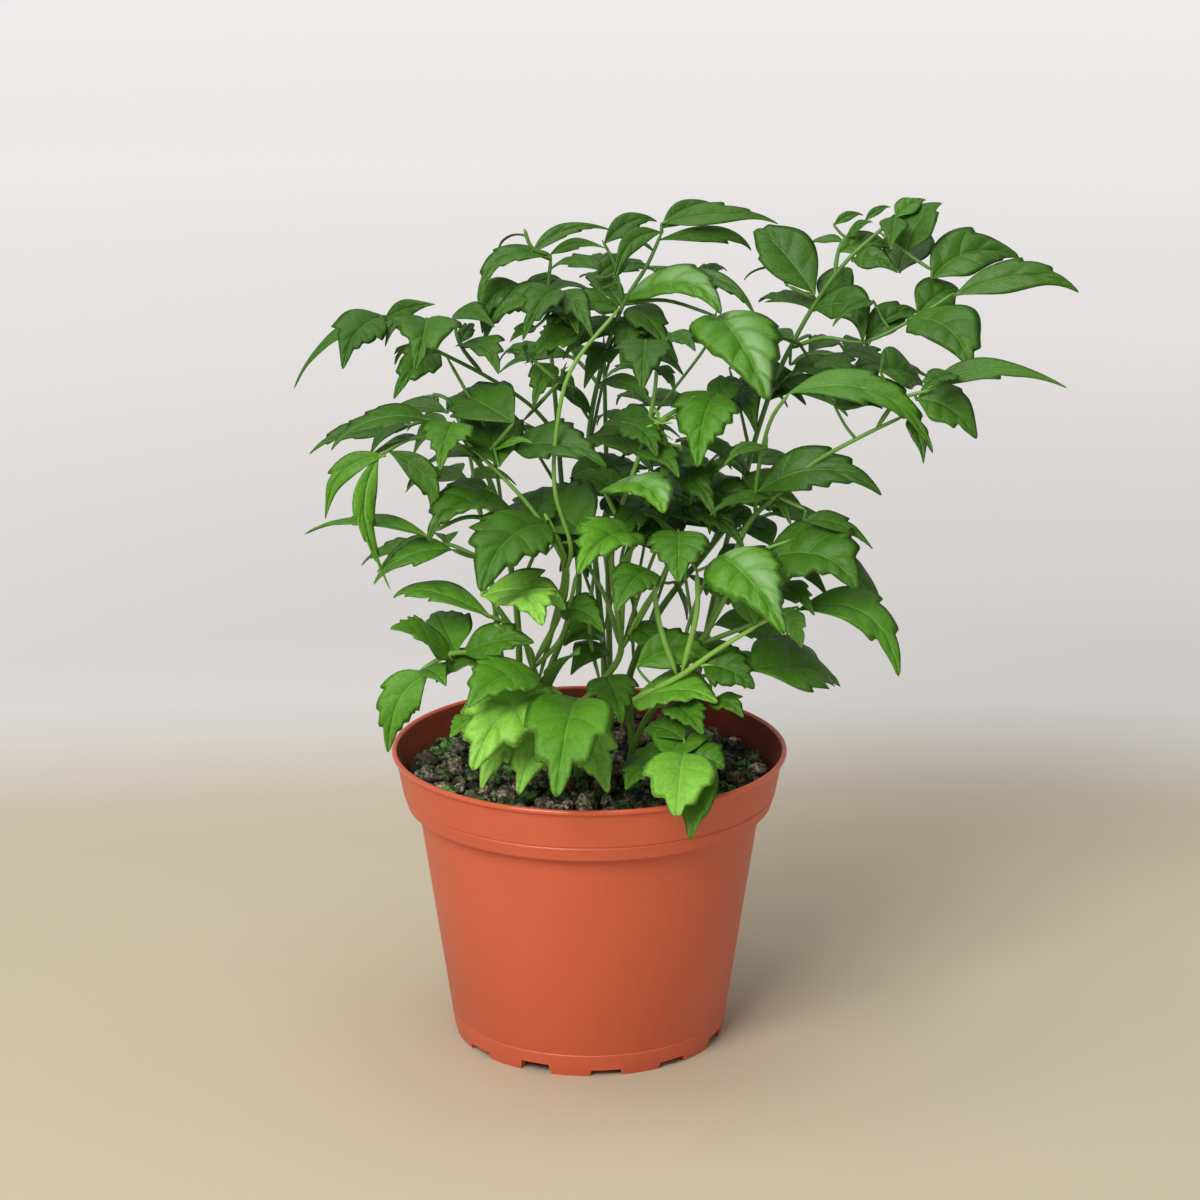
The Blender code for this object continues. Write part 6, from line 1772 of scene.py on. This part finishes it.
# The floor: its radius in metres, its colours under and round the pot, and its glow, which rises away from
# the pot and falls off further out; both are by shares of the radius
FLOOR_RADIUS = 9.0
FLOOR_SIDES = 96
FLOOR_NEAR = (0.54, 0.468, 0.34)
FLOOR_FAR = (0.70, 0.68, 0.665)
FLOOR_COLOURS = ((0.0, FLOOR_NEAR), (0.03, FLOOR_NEAR), (0.042, FLOOR_FAR))
FLOOR_POOL_MIDDLE = (0.0, -0.1, 0.0)
FLOOR_POOL_SHAPE = (0.5, 1.0, 1.0)
FLOOR_GLOWS = (
    (0.054, 0.0), (0.083, 0.13), (0.122, 0.3), (0.184, 0.47), (0.3, 0.59), (0.36, 0.58), (0.6, 0.3),
    (0.9, 0.11))
FLOOR_FRONT_GLOW = 0.5
FLOOR_GLOW_TINT = (1.0, 0.965, 0.957)
# Soft rectangular lights, in metres, all aimed at one point
Light = namedtuple("Light", "name place size power colour")
LIGHTS = (
    Light("key", (-0.7, -1.22, 1.24), (0.9, 0.8), 26.5, (1.0, 0.985, 0.96)),
    Light("top", (-0.1, 0.1, 1.5), (1.3, 1.0), 9.0, (1.0, 0.99, 0.98)),
    Light("fill", (1.2, -1.2, 0.6), (1.2, 1.0), 0.6, (0.97, 0.985, 1.0)),
)
LIGHT_AIM = (0.0, 0.0, 0.1)
SURROUND_COLOUR = (0.97, 0.98, 1.0, 1.0)
SURROUND_STRENGTH = 0.33


def make_camera():
    """The camera at the photograph's viewing angle."""
    data = bpy.data.cameras.new("camera")
    data.lens = CAMERA_LENS
    data.sensor_width = CAMERA_SENSOR
    data.shift_x = (FRAME_PIXELS / 2.0 - AXIS_PIXEL) / FRAME_PIXELS
    data.clip_start = CAMERA_NEAR
    data.clip_end = CAMERA_FAR
    camera = link_object("camera", data)
    camera.location = AXIS + Vector((0.0, -CAMERA_BACK, CAMERA_UP)) * MM
    camera.rotation_euler = (math.pi / 2.0 - CAMERA_PITCH, 0.0, 0.0)
    bpy.context.scene.camera = camera


def floor_material():
    """A pale floor, warm under the pot and paler further out, with a painted glow that brightens it."""
    shading = Shading("pale_floor")

    def vector_step(operation, *values):
        return shading.add("ShaderNodeVectorMath", *values, operation=operation).outputs

    def reach(vector):
        return shading.times(vector_step("LENGTH", vector)["Value"], 1.0 / FLOOR_RADIUS)

    place = vector_step("SUBTRACT", shading.place, FLOOR_POOL_MIDDLE)[0]
    oval = vector_step("MULTIPLY", place, FLOOR_POOL_SHAPE)[0]
    stops = [(way, tuple(part * strength for part in FLOOR_GLOW_TINT)) for way, strength in FLOOR_GLOWS]
    share = shading.scaled(shading.parts(place)[1], 2.0, 1.0, clamp=True)
    share = shading.scaled(share, 1.0 - FLOOR_FRONT_GLOW, FLOOR_FRONT_GLOW)
    glow = shading.mix(1.0, shading.ramp(reach(place), stops), shading.grey(share), "MULTIPLY")
    return shading.finish(
        Base_Color=shading.ramp(reach(oval), FLOOR_COLOURS), Roughness=0.75, Emission_Color=glow,
        Emission_Strength=1.0)


def make_stage():
    """A wide floor."""
    work = bmesh.new()
    bmesh.ops.create_circle(work, cap_ends=True, segments=FLOOR_SIDES, radius=FLOOR_RADIUS)
    mesh = bpy.data.meshes.new("floor")
    work.to_mesh(mesh)
    work.free()
    mesh.materials.append(floor_material())
    link_object("floor", mesh)


def make_light():
    """Soft studio light from the upper left and front, with a pale surround."""
    for light in LIGHTS:
        data = bpy.data.lights.new(light.name, "AREA")
        data.shape = "RECTANGLE"
        data.size, data.size_y = light.size
        data.energy = light.power
        data.color = light.colour
        lamp = link_object(light.name, data)
        lamp.location = Vector(light.place)
        lamp.rotation_euler = (Vector(LIGHT_AIM) - Vector(light.place)).to_track_quat("-Z", "Y").to_euler()
    world = bpy.data.worlds.new("surround")
    world.use_nodes = True
    surround = world.node_tree.nodes["Background"]
    surround.inputs["Color"].default_value = SURROUND_COLOUR
    surround.inputs["Strength"].default_value = SURROUND_STRENGTH
    bpy.context.scene.world = world
    bpy.context.scene.view_settings.view_transform = "Standard"


make_camera()
make_stage()
make_light()
make_pot([plastic_material(), inside_material()])
make_soil(soil_material())
make_grains(grain_material())
make_plant()
